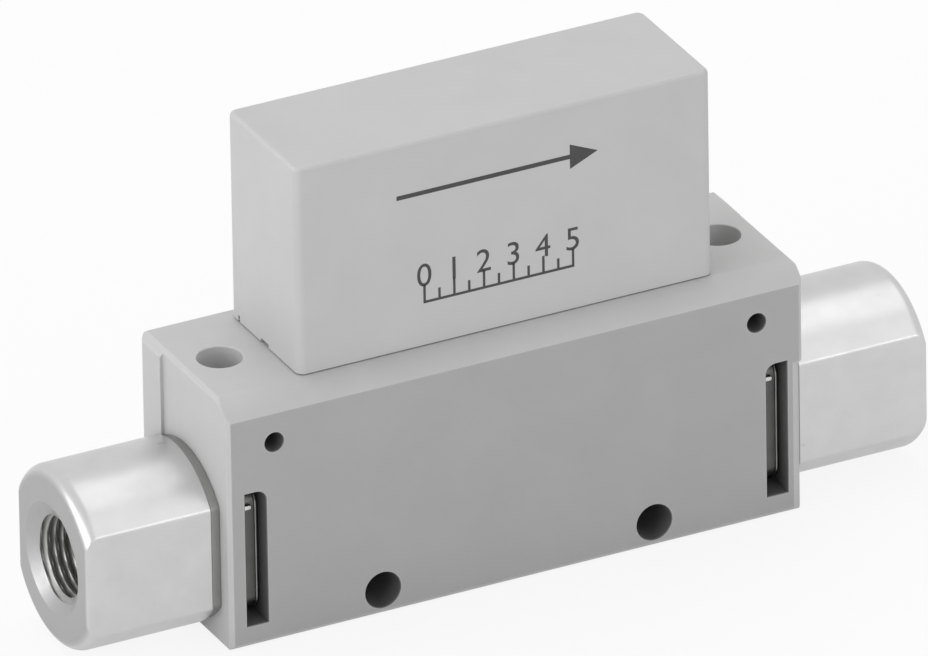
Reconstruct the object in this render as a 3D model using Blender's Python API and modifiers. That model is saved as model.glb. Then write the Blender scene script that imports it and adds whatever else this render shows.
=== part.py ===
"""Inline airflow sensor: a moulded flow body, two port fittings held by clips, and an electronics case.

Metres, +Z up. The air flows along X, the front with the clip slots faces -Y, and the origin is under the
middle of the body, on its base.
"""

import math

import bmesh
import bpy

CLEARANCE = 0.0003
CUT_MARGIN = 0.001

# Flow body
BODY_LENGTH = 0.066
BODY_DEPTH = 0.0196
BODY_HEIGHT = 0.0281
FRONT_EDGE_DROP = 0.0020
FRONT_EDGE_REACH = 0.0026
BODY_EDGE = 0.0004
REAR_RIB_DEPTH = 0.0050
REAR_RIB_PROUD = 0.0004
REAR_CORNER = 0.0012
TOP_BEVEL = 0.0008
END_ROUND = 0.0015
END_ROUND_TOP = 0.0172
FLOW_AXIS_HEIGHT = 0.0100
PASSAGE_RADIUS = 0.0040
MOUNT_HOLE_SPACING = 0.0312
MOUNT_HOLE_HEIGHT = 0.00275
MOUNT_HOLE_RADIUS = 0.0020
PILOT_HOLE_SPACING = 0.0553
PILOT_HOLE_HEIGHT = 0.02285
PILOT_HOLE_RADIUS = 0.00105
POCKET_SPACING = 0.0572
POCKET_RADIUS = 0.0024
POCKET_DEPTH = 0.0032

# Port fittings
FITTING_REACH = 0.0154
FITTING_RADIUS = 0.00985
FITTING_EDGE = 0.0015
FITTING_GAP = 0.0010
FLATS_ACROSS = 0.0160
SPIGOT_RADIUS = 0.0072
SPIGOT_LENGTH = 0.0100
SPIGOT_CHAMFER = 0.0006
PORT_MOUTH_RADIUS = 0.0061
PORT_THREAD_RADIUS = 0.00435
PORT_THREAD_DEPTH = 0.0095
PORT_THREAD_TAPER = 1 / 32
FITTING_BORE_RADIUS = 0.0035

# Retaining clips and their slots
SLOT_PLACE = 0.0031
SLOT_WIDTH = 0.0024
SLOT_HEIGHT = 0.0152
SLOT_CORNER = 0.0011
CLIP_STRIP = 0.0008
CLIP_RECESS = 0.0017
CLIP_CORNER = 0.0016
CLIP_LEG = 0.0130
CLIP_TAB_WIDTH = 0.0010
CLIP_TAB_HEIGHT = 0.0005
CLIP_TAB_REACH = 0.0010
CLIP_GROOVE_DEPTH = 0.0012

# Seals and flow straighteners
O_RING_CENTRE = 0.0062
O_RING_THICKNESS = 0.0014
SCREEN_RADIUS = 0.0057
SCREEN_THICKNESS = 0.0004
SCREEN_HOLE_RADIUS = 0.00045
SCREEN_HOLE_PITCH = 0.0016
SCREEN_RINGS = 2
SPACER_THICKNESS = 0.0009
SPACER_INNER_RADIUS = 0.0042

# Sensing element in the wall of the passage
WELL_LENGTH = 0.0160
WELL_DEPTH = 0.0088
WELL_FLOOR = 0.0162
WINDOW_LENGTH = 0.0080
WINDOW_DEPTH = 0.0044
GASKET_THICKNESS = 0.0007
CARRIER_THICKNESS = 0.0009
CHIP_SIZE = 0.0030
CHIP_THICKNESS = 0.0004
CLAMP_EAR_LENGTH = 0.0242
CLAMP_EAR_DEPTH = 0.0044
CLAMP_EAR_THICKNESS = 0.0014
CLAMP_SLOT_LENGTH = 0.0110
CLAMP_SLOT_DEPTH = 0.0026
CLAMP_SCREW_SPACING = 0.0204
CLAMP_SCREW_RADIUS = 0.0008
CLAMP_SCREW_LENGTH = 0.0060
CLAMP_SCREW_HEAD_RADIUS = 0.0015
CLAMP_SCREW_HEAD_HEIGHT = 0.0009
CLAMP_SCREW_HEAD_BEVEL = 0.00045
SENSOR_PINS = 4
SENSOR_PIN_PITCH = 0.0025
SENSOR_PIN_RADIUS = 0.00025
SENSOR_PIN_LAP = 0.0028

# Electronics case
CASE_LENGTH = 0.0475
CASE_DEPTH = 0.0156
CASE_HEIGHT = 0.0236
CASE_SETBACK = 0.0026
CASE_MIDDLE = 0.0003
CASE_WALL = 0.0015
CASE_CORNER = 0.0009
CASE_EDGE = 0.0005
PLINTH_HEIGHT = 0.0018
PRY_NOTCH_WIDTH = 0.0018
PRY_NOTCH_HEIGHT = 0.0004
PRY_NOTCH_DEPTH = 0.0006
SNAP_WIDTH = 0.0040
SNAP_HEIGHT = 0.0006
SNAP_REACH = 0.0008
SNAP_PLACE = 0.0002

# Circuit board and its connector
BOARD_PLACE = 0.0020
BOARD_THICKNESS = 0.0012
BOARD_GUIDE_WIDTH = 0.0010
BOARD_GUIDE_REACH = 0.0015
BOARD_GUIDE_LIFT = 0.0018
HEADER_LENGTH = 0.0104
HEADER_DEPTH = 0.0056
HEADER_HEIGHT = 0.0142
HEADER_WALL = 0.0006
HEADER_FLOOR = 0.0022
HEADER_LIFT = 0.0028
HEADER_RECESS = 0.0003
HEADER_PINS = 5
HEADER_PIN_PITCH = 0.0025
HEADER_PIN_RADIUS = 0.0003
HEADER_PIN_REACH = 0.0034
HEADER_TAIL = 0.0012
HEADER_PIN_THROUGH = 0.0007

# Parts on the board: PLACE is from the board's left end, LIFT is from its lower edge
MICROCONTROLLER_SIZE = 0.0070
MICROCONTROLLER_THICKNESS = 0.0012
MICROCONTROLLER_PLACE = 0.0105
MICROCONTROLLER_LIFT = 0.0078
AMPLIFIER_LENGTH = 0.0050
AMPLIFIER_HEIGHT = 0.0040
AMPLIFIER_THICKNESS = 0.0015
AMPLIFIER_PLACE = 0.0035
AMPLIFIER_LIFT = 0.0048
REGULATOR_LENGTH = 0.0065
REGULATOR_HEIGHT = 0.0035
REGULATOR_THICKNESS = 0.0016
REGULATOR_PLACE = 0.0045
REGULATOR_LIFT = 0.0118
CRYSTAL_LENGTH = 0.0032
CRYSTAL_HEIGHT = 0.0025
CRYSTAL_THICKNESS = 0.0008
CRYSTAL_PLACE = 0.0190
CRYSTAL_LIFT = 0.0053
CAPACITOR_RADIUS = 0.0025
CAPACITOR_LENGTH = 0.0050
CAPACITOR_LIFT = 0.0148
CAPACITOR_TO_PINS = 0.0054

ROUND_STEPS = 40
HOLE_STEPS = 24
SMALL_STEPS = 16
RING_SECTION_STEPS = 8
PIN_STEPS = 8
SCREEN_HOLE_STEPS = 6

ALONG_X = (0, math.pi / 2, 0)
ALONG_MINUS_X = (0, -math.pi / 2, 0)
FACING_FRONT = (math.pi / 2, 0, 0)
FACING_END = (math.pi / 2, 0, math.pi / 2)

BODY_FRONT = -BODY_DEPTH / 2
BODY_BACK = BODY_DEPTH / 2
BODY_END = BODY_LENGTH / 2
CASE_FRONT = BODY_FRONT + CASE_SETBACK
CASE_BACK = CASE_FRONT + CASE_DEPTH
CASE_BASE = BODY_HEIGHT + CLEARANCE
CASE_TOP = BODY_HEIGHT + CASE_HEIGHT
CASE_END = CASE_LENGTH / 2
SPIGOT_BORE_RADIUS = SPIGOT_RADIUS + CLEARANCE
SCREEN_BORE_RADIUS = SCREEN_RADIUS + CLEARANCE
CLIP_GROOVE_RADIUS = SPIGOT_RADIUS - CLIP_GROOVE_DEPTH
CARRIER_BASE = WELL_FLOOR + GASKET_THICKNESS + 2 * CLEARANCE
CARRIER_TOP = CARRIER_BASE + CARRIER_THICKNESS
BOARD_BASE = BODY_HEIGHT + PLINTH_HEIGHT + CLEARANCE
BOARD_END = CASE_END - CASE_WALL - CLEARANCE
SENSOR_PIN_LINE = BOARD_PLACE - CLEARANCE - SENSOR_PIN_RADIUS
HEADER_BASE = BOARD_BASE + HEADER_LIFT
HEADER_MIDDLE = BOARD_PLACE - CLEARANCE - HEADER_DEPTH / 2
HEADER_MOUTH = CASE_MIDDLE + CASE_END - HEADER_RECESS
HEADER_PIN_BEND = HEADER_MOUTH - HEADER_LENGTH - HEADER_TAIL


def empty_scene():
    for old in list(bpy.data.objects):
        bpy.data.objects.remove(old, do_unlink=True)


def new_collection(name):
    collection = bpy.data.collections.new(name)
    bpy.context.scene.collection.children.link(collection)
    return collection


def new_material(name, colour, roughness, metallic=0.0):
    material = bpy.data.materials.new(name)
    material.use_nodes = True
    shader = material.node_tree.nodes["Principled BSDF"]
    shader.inputs["Base Color"].default_value = (*colour, 1.0)
    shader.inputs["Roughness"].default_value = roughness
    shader.inputs["Metallic"].default_value = metallic
    material.diffuse_color = (*colour, 1.0)
    return material


def finish(obj, material=None):
    """Puts the object with the parts when it has a material, and with the cutters when it has none."""
    for collection in list(obj.users_collection):
        collection.objects.unlink(obj)
    if material is None:
        CUTTERS.objects.link(obj)
        obj.hide_render = True
        obj.display_type = "WIRE"
        return obj
    PARTS.objects.link(obj)
    obj.data.materials.clear()
    obj.data.materials.append(material)
    return obj


def mesh_object(name, shape, material=None):
    mesh = bpy.data.meshes.new(name)
    shape.to_mesh(mesh)
    shape.free()
    obj = bpy.data.objects.new(name, mesh)
    bpy.context.scene.collection.objects.link(obj)
    return finish(obj, material)


def box(name, x, y, z, material=None):
    """A block between the two ends given for each axis."""
    shape = bmesh.new()
    bmesh.ops.create_cube(shape, size=1.0)
    size = (x[1] - x[0], y[1] - y[0], z[1] - z[0])
    bmesh.ops.scale(shape, vec=size, verts=shape.verts)
    obj = mesh_object(name, shape, material)
    obj.location = (sum(x) / 2, sum(y) / 2, sum(z) / 2)
    return obj


def rod(name, radius, length, centre, turn=(0, 0, 0), steps=HOLE_STEPS, material=None):
    shape = bmesh.new()
    bmesh.ops.create_cone(
        shape, cap_ends=True, segments=steps, radius1=radius, radius2=radius, depth=length
    )
    obj = mesh_object(name, shape, material)
    obj.location = centre
    obj.rotation_euler = turn
    smooth(obj)
    return obj


def smooth(obj, angle=math.radians(35)):
    obj.data.shade_smooth()
    obj.data.set_sharp_from_angle(angle=angle)


def turned(name, profile, place, turn, closed=True, steps=ROUND_STEPS, material=None):
    """Turns a profile of (radius, height) points about the object's own Z axis."""
    shape = bmesh.new()
    points = [shape.verts.new((radius, 0, height)) for radius, height in profile]
    for first, second in zip(points, points[1:]):
        shape.edges.new((first, second))
    if closed:
        shape.edges.new((points[-1], points[0]))
    obj = mesh_object(name, shape, material)
    obj.location = place
    obj.rotation_euler = turn
    screw = obj.modifiers.new("Turn", "SCREW")
    screw.steps = steps
    screw.render_steps = steps
    screw.use_merge_vertices = True
    screw.merge_threshold = 0.00001
    screw.use_smooth_shade = True
    return obj


def arc(centre, radius, start, end, steps):
    """Points on a circle from one angle to another, in degrees."""
    angles = [math.radians(start + (end - start) * i / steps) for i in range(steps + 1)]
    return [(centre[0] + radius * math.cos(a), centre[1] + radius * math.sin(a)) for a in angles]


def rounded_rectangle(width, height, radii, steps=3):
    """Counter-clockwise outline about the origin, with one radius for each corner from the lower left."""
    corners = ((-1, -1, 180), (1, -1, 270), (1, 1, 0), (-1, 1, 90))
    outline = []
    for (side, level, start), radius in zip(corners, radii):
        corner = (side * width / 2, level * height / 2)
        if radius:
            centre = (corner[0] - side * radius, corner[1] - level * radius)
            outline += arc(centre, radius, start, start + 90, steps)
        else:
            outline.append(corner)
    return outline


def plate(name, outline, thickness, centre, turn=(0, 0, 0), material=None):
    """A flat outline given a thickness, half of it on each side of its own plane."""
    curve = bpy.data.curves.new(name, "CURVE")
    curve.dimensions = "2D"
    curve.fill_mode = "BOTH"
    curve.extrude = thickness / 2
    spline = curve.splines.new("POLY")
    spline.points.add(len(outline) - 1)
    for point, (across, up) in zip(spline.points, outline):
        point.co = (across, up, 0, 1)
    spline.use_cyclic_u = True
    guide = bpy.data.objects.new(name + "_outline", curve)
    bpy.context.scene.collection.objects.link(guide)
    guide.location = centre
    guide.rotation_euler = turn
    bpy.context.view_layer.update()
    graph = bpy.context.evaluated_depsgraph_get()
    mesh = bpy.data.meshes.new_from_object(guide.evaluated_get(graph))
    shape = bmesh.new()
    shape.from_mesh(mesh)
    bmesh.ops.remove_doubles(shape, verts=shape.verts, dist=0.000001)
    bmesh.ops.dissolve_limit(
        shape, angle_limit=math.radians(1), verts=shape.verts, edges=shape.edges
    )
    bmesh.ops.recalc_face_normals(shape, faces=shape.faces)
    obj = mesh_object(name, shape, material)
    obj.matrix_world = guide.matrix_world
    bpy.data.meshes.remove(mesh)
    bpy.data.objects.remove(guide)
    return obj


def combine(obj, tool, operation):
    step = obj.modifiers.new(tool.name, "BOOLEAN")
    step.operation = operation
    step.object = tool
    step.solver = "EXACT"


def cut(obj, *tools):
    for tool in tools:
        combine(obj, tool, "DIFFERENCE")


def join(obj, *tools):
    for tool in tools:
        combine(obj, tool, "UNION")


def bevel(obj, width, segments, angle):
    edge = obj.modifiers.new("Edges", "BEVEL")
    edge.width = width
    edge.segments = segments
    edge.limit_method = "ANGLE"
    edge.angle_limit = angle


def body_plan():
    """The body seen from above: a rib along the back stands a little proud of both ends."""
    rib_end = BODY_END + REAR_RIB_PROUD
    rib_front = BODY_BACK - REAR_RIB_DEPTH
    half = [(BODY_END - BODY_EDGE, BODY_FRONT), (BODY_END, BODY_FRONT + BODY_EDGE)]
    half += [(BODY_END, rib_front), (rib_end, rib_front)]
    half += arc((rib_end - REAR_CORNER, BODY_BACK - REAR_CORNER), REAR_CORNER, 0, 90, 3)
    return half + [(-x, y) for x, y in reversed(half)]


def body_side():
    """The body seen from its end: the front top edge is a wide round that meets the front at a crease."""
    radius = (FRONT_EDGE_REACH**2 + FRONT_EDGE_DROP**2) / (2 * FRONT_EDGE_DROP)
    sweep = math.degrees(math.asin(FRONT_EDGE_REACH / radius))
    top = (BODY_FRONT + FRONT_EDGE_REACH, BODY_HEIGHT - radius)
    outline = [(BODY_FRONT, BODY_EDGE), (BODY_FRONT + BODY_EDGE, 0)]
    outline += [(BODY_BACK - BODY_EDGE, 0), (BODY_BACK, BODY_EDGE)]
    outline += [(BODY_BACK, BODY_HEIGHT - BODY_EDGE), (BODY_BACK - BODY_EDGE, BODY_HEIGHT)]
    return outline + arc(top, radius, 90, 90 + sweep, 5)


def body_front():
    """The body seen from the front: its upper end edges are bevelled."""
    half_length = BODY_END + REAR_RIB_PROUD
    half = [(half_length, 0), (half_length, BODY_HEIGHT - TOP_BEVEL)]
    half += [(half_length - TOP_BEVEL, BODY_HEIGHT)]
    return half + [(-x, z) for x, z in reversed(half)]


def bore_profile():
    """Half of the through bore, from its mouth to the middle, as (radius, distance from the middle)."""
    mouth = BODY_END + CUT_MARGIN
    spigot_end = BODY_END - SPIGOT_LENGTH - CLEARANCE
    screens_end = spigot_end - straightener_length()
    return [
        (SPIGOT_BORE_RADIUS, mouth),
        (SPIGOT_BORE_RADIUS, spigot_end),
        (SCREEN_BORE_RADIUS, spigot_end),
        (SCREEN_BORE_RADIUS, screens_end),
        (PASSAGE_RADIUS, screens_end),
    ]


def straightener_length():
    return 2 * (SCREEN_THICKNESS + SPACER_THICKNESS) + 4 * CLEARANCE


def flow_body(material):
    body = plate("flow_body", body_plan(), BODY_HEIGHT, (0, 0, BODY_HEIGHT / 2), material=material)
    length = BODY_LENGTH + 2 * (REAR_RIB_PROUD + CUT_MARGIN)
    combine(body, plate("body_side_shape", body_side(), length, (0, 0, 0), FACING_END), "INTERSECT")
    depth = BODY_DEPTH + 2 * CUT_MARGIN
    combine(body, plate("body_front_shape", body_front(), depth, (0, 0, 0), FACING_FRONT), "INTERSECT")
    join(body, plinth())
    half = bore_profile()
    bore = [(0, half[0][1]), *half, *[(r, -x) for r, x in reversed(half)], (0, -half[0][1])]
    cut(body, turned("bore", bore, (0, 0, FLOW_AXIS_HEIGHT), ALONG_X, closed=False))
    for side, end in ((-1, "inlet"), (1, "outlet")):
        cut(body, clip_slot(side, end), end_round(side, end), *front_holes(side, end), pocket(side, end))
        cut(body, snap_recess(side, end))
    cut(body, *sensor_well())
    smooth(body)
    return body


def case_x(side, inset=0.0):
    """Where the case's left or right end is, or a plane inside that end."""
    return CASE_MIDDLE + side * (CASE_END - inset)


def plinth():
    """The step on the top that the case fits over."""
    edge = CASE_WALL + CLEARANCE
    x = (case_x(-1, edge), case_x(1, edge))
    y = (CASE_FRONT + edge, CASE_BACK - edge)
    return box("plinth", x, y, (BODY_HEIGHT - CUT_MARGIN, BODY_HEIGHT + PLINTH_HEIGHT))


def snap_recess(side, end):
    """A groove in the plinth's end that the case's snap catches in."""
    edge = case_x(side, CASE_WALL + CLEARANCE)
    x = sorted((edge + side * CUT_MARGIN, edge - side * SNAP_REACH))
    middle = (CASE_FRONT + CASE_BACK) / 2
    reach = SNAP_WIDTH / 2 + CLEARANCE
    low = CASE_BASE + SNAP_PLACE - CLEARANCE
    z = (low, low + SNAP_HEIGHT + 2 * CLEARANCE)
    return box(end + "_snap_recess", x, (middle - reach, middle + reach), z)


def clip_slot(side, end):
    """The slot in the front that a retaining clip is pushed in through; one upper corner is round."""
    radii = (0, 0, SLOT_CORNER, 0) if side < 0 else (0, 0, 0, SLOT_CORNER)
    outline = rounded_rectangle(SLOT_WIDTH, SLOT_HEIGHT, radii)
    front = BODY_FRONT - CUT_MARGIN
    back = BODY_FRONT + CLIP_RECESS + CLIP_LEG + CLEARANCE
    centre = (side * (BODY_END - SLOT_PLACE), (front + back) / 2, FLOW_AXIS_HEIGHT)
    return plate(end + "_clip_slot", outline, back - front, centre, FACING_FRONT)


def end_round(side, end):
    """What is rounded off the front corner beside the fitting: a block less a quarter of a cylinder."""
    far = END_ROUND + CUT_MARGIN
    outline = [(far, -far), (far, END_ROUND), *arc((0, END_ROUND), END_ROUND, 0, -90, 4), (0, -far)]
    outline = [(side * x, y) for x, y in outline]
    centre_x = side * (BODY_END - END_ROUND)
    height = END_ROUND_TOP + CUT_MARGIN
    centre = (centre_x, BODY_FRONT, END_ROUND_TOP - height / 2)
    return plate(end + "_end_round", outline, height, centre)


def front_holes(side, end):
    """The mounting hole and the small pilot hole above it, both right through."""
    through = BODY_DEPTH + 2 * CUT_MARGIN
    mount = (side * MOUNT_HOLE_SPACING / 2, 0, MOUNT_HOLE_HEIGHT)
    pilot = (side * PILOT_HOLE_SPACING / 2, 0, PILOT_HOLE_HEIGHT)
    return (
        rod(end + "_mount_hole", MOUNT_HOLE_RADIUS, through, mount, FACING_FRONT),
        rod(end + "_pilot_hole", PILOT_HOLE_RADIUS, through, pilot, FACING_FRONT, SMALL_STEPS),
    )


def pocket(side, end):
    """A round pocket in the top, on the middle line of the case."""
    height = POCKET_DEPTH + CUT_MARGIN
    middle = (CASE_FRONT + CASE_BACK) / 2
    centre = (side * POCKET_SPACING / 2, middle, BODY_HEIGHT + CUT_MARGIN - height / 2)
    return rod(end + "_top_pocket", POCKET_RADIUS, height, centre)


def sensor_well():
    """The well for the sensing element, its window on the passage, and the seats of the clamp's ears."""
    top = BODY_HEIGHT + PLINTH_HEIGHT + CUT_MARGIN
    ear_floor = BODY_HEIGHT - CLAMP_EAR_THICKNESS + CLEARANCE
    screw_floor = ear_floor - CLAMP_SCREW_LENGTH
    well = box(
        "well",
        (-WELL_LENGTH / 2, WELL_LENGTH / 2),
        (-WELL_DEPTH / 2, WELL_DEPTH / 2),
        (WELL_FLOOR, top),
    )
    window = box(
        "window",
        (-WINDOW_LENGTH / 2, WINDOW_LENGTH / 2),
        (-WINDOW_DEPTH / 2, WINDOW_DEPTH / 2),
        (FLOW_AXIS_HEIGHT, WELL_FLOOR + CUT_MARGIN),
    )
    ear_length = CLAMP_EAR_LENGTH / 2 + CLEARANCE
    ear_depth = CLAMP_EAR_DEPTH / 2 + CLEARANCE
    ears = box("ear_seat", (-ear_length, ear_length), (-ear_depth, ear_depth), (ear_floor, top))
    holes = []
    for side, end in ((-1, "left"), (1, "right")):
        height = ear_floor + CUT_MARGIN - screw_floor
        centre = (side * CLAMP_SCREW_SPACING / 2, 0, screw_floor + height / 2)
        radius = CLAMP_SCREW_RADIUS + CLEARANCE
        holes.append(rod(end + "_clamp_pilot", radius, height, centre, steps=SMALL_STEPS))
    return well, window, ears, *holes


def fitting(name, side, material):
    """A round bar with two flats and a threaded port outside, and a spigot with two grooves in the body."""
    outer = FITTING_REACH
    edge = arc((FITTING_RADIUS - FITTING_EDGE, outer - FITTING_EDGE), FITTING_EDGE, 90, 0, 4)
    clip_half = SLOT_WIDTH / 2
    seal_half = O_RING_THICKNESS / 2 + CLEARANCE
    seal_floor = SPIGOT_BORE_RADIUS - O_RING_THICKNESS - 2 * CLEARANCE
    thread_end = outer - PORT_THREAD_DEPTH
    thread_drop = PORT_THREAD_DEPTH * PORT_THREAD_TAPER
    countersink = PORT_MOUTH_RADIUS - PORT_THREAD_RADIUS
    profile = [
        *edge,
        (FITTING_RADIUS, FITTING_GAP),
        (SPIGOT_RADIUS, FITTING_GAP),
        (SPIGOT_RADIUS, -SLOT_PLACE + clip_half),
        (CLIP_GROOVE_RADIUS, -SLOT_PLACE + clip_half),
        (CLIP_GROOVE_RADIUS, -SLOT_PLACE - clip_half),
        (SPIGOT_RADIUS, -SLOT_PLACE - clip_half),
        (SPIGOT_RADIUS, -O_RING_CENTRE + seal_half),
        (seal_floor, -O_RING_CENTRE + seal_half),
        (seal_floor, -O_RING_CENTRE - seal_half),
        (SPIGOT_RADIUS, -O_RING_CENTRE - seal_half),
        (SPIGOT_RADIUS, -SPIGOT_LENGTH + SPIGOT_CHAMFER),
        (SPIGOT_RADIUS - SPIGOT_CHAMFER, -SPIGOT_LENGTH),
        (FITTING_BORE_RADIUS, -SPIGOT_LENGTH),
        (FITTING_BORE_RADIUS, thread_end),
        (PORT_THREAD_RADIUS - thread_drop, thread_end),
        (PORT_THREAD_RADIUS, outer - countersink),
        (PORT_MOUTH_RADIUS, outer),
    ]
    turn = ALONG_X if side > 0 else ALONG_MINUS_X
    obj = turned(name, profile, (side * BODY_END, 0, FLOW_AXIS_HEIGHT), turn, material=material)
    x = sorted((side * BODY_END, side * (BODY_END + FITTING_REACH + CUT_MARGIN)))
    z = (FLOW_AXIS_HEIGHT - 2 * FITTING_RADIUS, FLOW_AXIS_HEIGHT + 2 * FITTING_RADIUS)
    for face, label in ((-1, "front"), (1, "back")):
        y = sorted((face * FLATS_ACROSS / 2, face * FITTING_RADIUS * 2))
        cut(obj, box(f"{name}_{label}_flat", x, y, z))
    return obj


def retaining_clip(name, side, material):
    """A flat strip bent to a U: its legs straddle the spigot in its groove, its web shows in the slot."""
    leg_height = (CLIP_GROOVE_RADIUS + CLEARANCE) + CLIP_STRIP / 2
    web = BODY_FRONT + CLIP_RECESS + CLIP_STRIP / 2
    tip = web + CLIP_LEG - CLIP_STRIP
    corner = (web + CLIP_CORNER, leg_height - CLIP_CORNER)
    upper = arc(corner, CLIP_CORNER, 180, 90, 4) + [(tip, leg_height)]
    path = [(y, -z) for y, z in reversed(upper)] + upper
    width = SLOT_WIDTH - 2 * CLEARANCE
    middle = side * (BODY_END - SLOT_PLACE)
    shape = bmesh.new()
    rows = [
        [shape.verts.new((middle + edge, y, FLOW_AXIS_HEIGHT + z)) for y, z in path]
        for edge in (-width / 2, width / 2)
    ]
    for i in range(len(path) - 1):
        shape.faces.new((rows[0][i], rows[0][i + 1], rows[1][i + 1], rows[1][i]))
    obj = mesh_object(name, shape, material)
    strip = obj.modifiers.new("Strip", "SOLIDIFY")
    strip.thickness = CLIP_STRIP
    strip.offset = 0
    strip.use_even_offset = True
    edge = side * (BODY_END - SLOT_PLACE) - width / 2
    high = FLOW_AXIS_HEIGHT + leg_height - CLIP_CORNER
    tab = box(
        name + "_tab",
        (edge, edge + CLIP_TAB_WIDTH),
        (web - CLIP_TAB_REACH, web),
        (high, high + CLIP_TAB_HEIGHT),
    )
    join(obj, tab)
    smooth(obj)
    return obj


def o_ring(name, side, material):
    centre = SPIGOT_BORE_RADIUS - CLEARANCE - O_RING_THICKNESS / 2
    bpy.ops.mesh.primitive_torus_add(
        major_radius=centre,
        minor_radius=O_RING_THICKNESS / 2,
        major_segments=HOLE_STEPS,
        minor_segments=RING_SECTION_STEPS,
        location=(side * (BODY_END - O_RING_CENTRE), 0, FLOW_AXIS_HEIGHT),
        rotation=ALONG_X,
    )
    obj = bpy.context.object
    obj.name = name
    smooth(obj)
    return finish(obj, material)


def screen(name, x, material):
    """A disc pierced in rings around a middle hole."""
    middle = (x, 0, FLOW_AXIS_HEIGHT)
    obj = rod(name, SCREEN_RADIUS, SCREEN_THICKNESS, middle, ALONG_X, ROUND_STEPS, material)
    through = SCREEN_THICKNESS + 2 * CUT_MARGIN
    for ring in range(SCREEN_RINGS + 1):
        count = max(1, 6 * ring)
        for i in range(count):
            angle = 2 * math.pi * i / count
            y = ring * SCREEN_HOLE_PITCH * math.cos(angle)
            z = FLOW_AXIS_HEIGHT + ring * SCREEN_HOLE_PITCH * math.sin(angle)
            label = f"{name}_hole_{ring}_{i}"
            cut(obj, rod(label, SCREEN_HOLE_RADIUS, through, (x, y, z), ALONG_X, SCREEN_HOLE_STEPS))
    return obj


def spacer(name, x, thickness, material):
    profile = [
        (SCREEN_RADIUS, thickness / 2),
        (SCREEN_RADIUS, -thickness / 2),
        (SPACER_INNER_RADIUS, -thickness / 2),
        (SPACER_INNER_RADIUS, thickness / 2),
    ]
    return turned(name, profile, (x, 0, FLOW_AXIS_HEIGHT), ALONG_X, material=material)


def straighteners(mesh, ring):
    """Two screens with two spacers behind the inlet, one screen with a thicker spacer behind the outlet."""
    start = BODY_END - SPIGOT_LENGTH - CLEARANCE
    place = -start
    for label in ("outer", "inner"):
        screen(f"inlet_screen_{label}", place + SCREEN_THICKNESS / 2, mesh)
        place += SCREEN_THICKNESS + CLEARANCE
        spacer(f"inlet_spacer_{label}", place + SPACER_THICKNESS / 2, SPACER_THICKNESS, ring)
        place += SPACER_THICKNESS + CLEARANCE
    screen("outlet_screen", start - SCREEN_THICKNESS / 2, mesh)
    thickness = straightener_length() - SCREEN_THICKNESS - 2 * CLEARANCE
    middle = start - SCREEN_THICKNESS - CLEARANCE - thickness / 2
    spacer("outlet_spacer", middle, thickness, ring)


def sensing_element(rubber, ceramic, silicon):
    """The gasket on the well's floor, the carrier on it, and the chip under the carrier, in the window."""
    length = WELL_LENGTH / 2 - 2 * CLEARANCE
    depth = WELL_DEPTH / 2 - CLEARANCE
    base = WELL_FLOOR + CLEARANCE
    outline = rounded_rectangle(2 * length, 2 * depth, (2 * CLEARANCE,) * 4)
    middle = (0, 0, base + GASKET_THICKNESS / 2)
    gasket = plate("sensor_gasket", outline, GASKET_THICKNESS, middle, material=rubber)
    x = (-WINDOW_LENGTH / 2, WINDOW_LENGTH / 2)
    y = (-WINDOW_DEPTH / 2, WINDOW_DEPTH / 2)
    cut(gasket, box("gasket_window", x, y, (base - CUT_MARGIN, base + CUT_MARGIN)))
    box("sensor_carrier", (-length, length), (-depth, depth), (CARRIER_BASE, CARRIER_TOP), ceramic)
    half = CHIP_SIZE / 2
    top = CARRIER_BASE - CLEARANCE
    box("sensor_chip", (-half, half), (-half, half), (top - CHIP_THICKNESS, top), silicon)


def sensor_clamp(resin, steel):
    """A block that holds the carrier down by two screwed ears; the pins rise through its slot."""
    top = BODY_HEIGHT + 2 * CLEARANCE
    length = WELL_LENGTH / 2 - CLEARANCE
    depth = WELL_DEPTH / 2 - CLEARANCE
    clamp = box("sensor_clamp", (-length, length), (-depth, depth), (CARRIER_TOP + CLEARANCE, top), resin)
    ear = CLAMP_EAR_LENGTH / 2
    ear_base = top - CLAMP_EAR_THICKNESS
    depth = CLAMP_EAR_DEPTH / 2
    join(clamp, box("clamp_ears", (-ear, ear), (-depth, depth), (ear_base, top)))
    x = (-CLAMP_SLOT_LENGTH / 2, CLAMP_SLOT_LENGTH / 2)
    y = (SENSOR_PIN_LINE - CLAMP_SLOT_DEPTH / 2, SENSOR_PIN_LINE + CLAMP_SLOT_DEPTH / 2)
    cut(clamp, box("clamp_slot", x, y, (WELL_FLOOR, top + CUT_MARGIN)))
    for side, end in ((-1, "left"), (1, "right")):
        place = side * CLAMP_SCREW_SPACING / 2
        hole = rod(
            end + "_clamp_hole",
            CLAMP_SCREW_RADIUS + CLEARANCE,
            CLAMP_EAR_THICKNESS + 2 * CUT_MARGIN,
            (place, 0, top - CLAMP_EAR_THICKNESS / 2),
            steps=SMALL_STEPS,
        )
        cut(clamp, hole)
        clamp_screw(f"clamp_screw_{end}", place, top + CLEARANCE, steel)


def clamp_screw(name, x, seat, material):
    head_top = seat + CLAMP_SCREW_HEAD_HEIGHT
    profile = [
        (0, head_top),
        (CLAMP_SCREW_HEAD_RADIUS - CLAMP_SCREW_HEAD_BEVEL, head_top),
        (CLAMP_SCREW_HEAD_RADIUS, head_top - CLAMP_SCREW_HEAD_BEVEL),
        (CLAMP_SCREW_HEAD_RADIUS, seat),
        (CLAMP_SCREW_RADIUS, seat),
        (CLAMP_SCREW_RADIUS, seat - CLAMP_SCREW_LENGTH + CLAMP_SCREW_RADIUS),
        (0, seat - CLAMP_SCREW_LENGTH),
    ]
    turned(name, profile, (x, 0, 0), (0, 0, 0), closed=False, steps=SMALL_STEPS, material=material)


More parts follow.
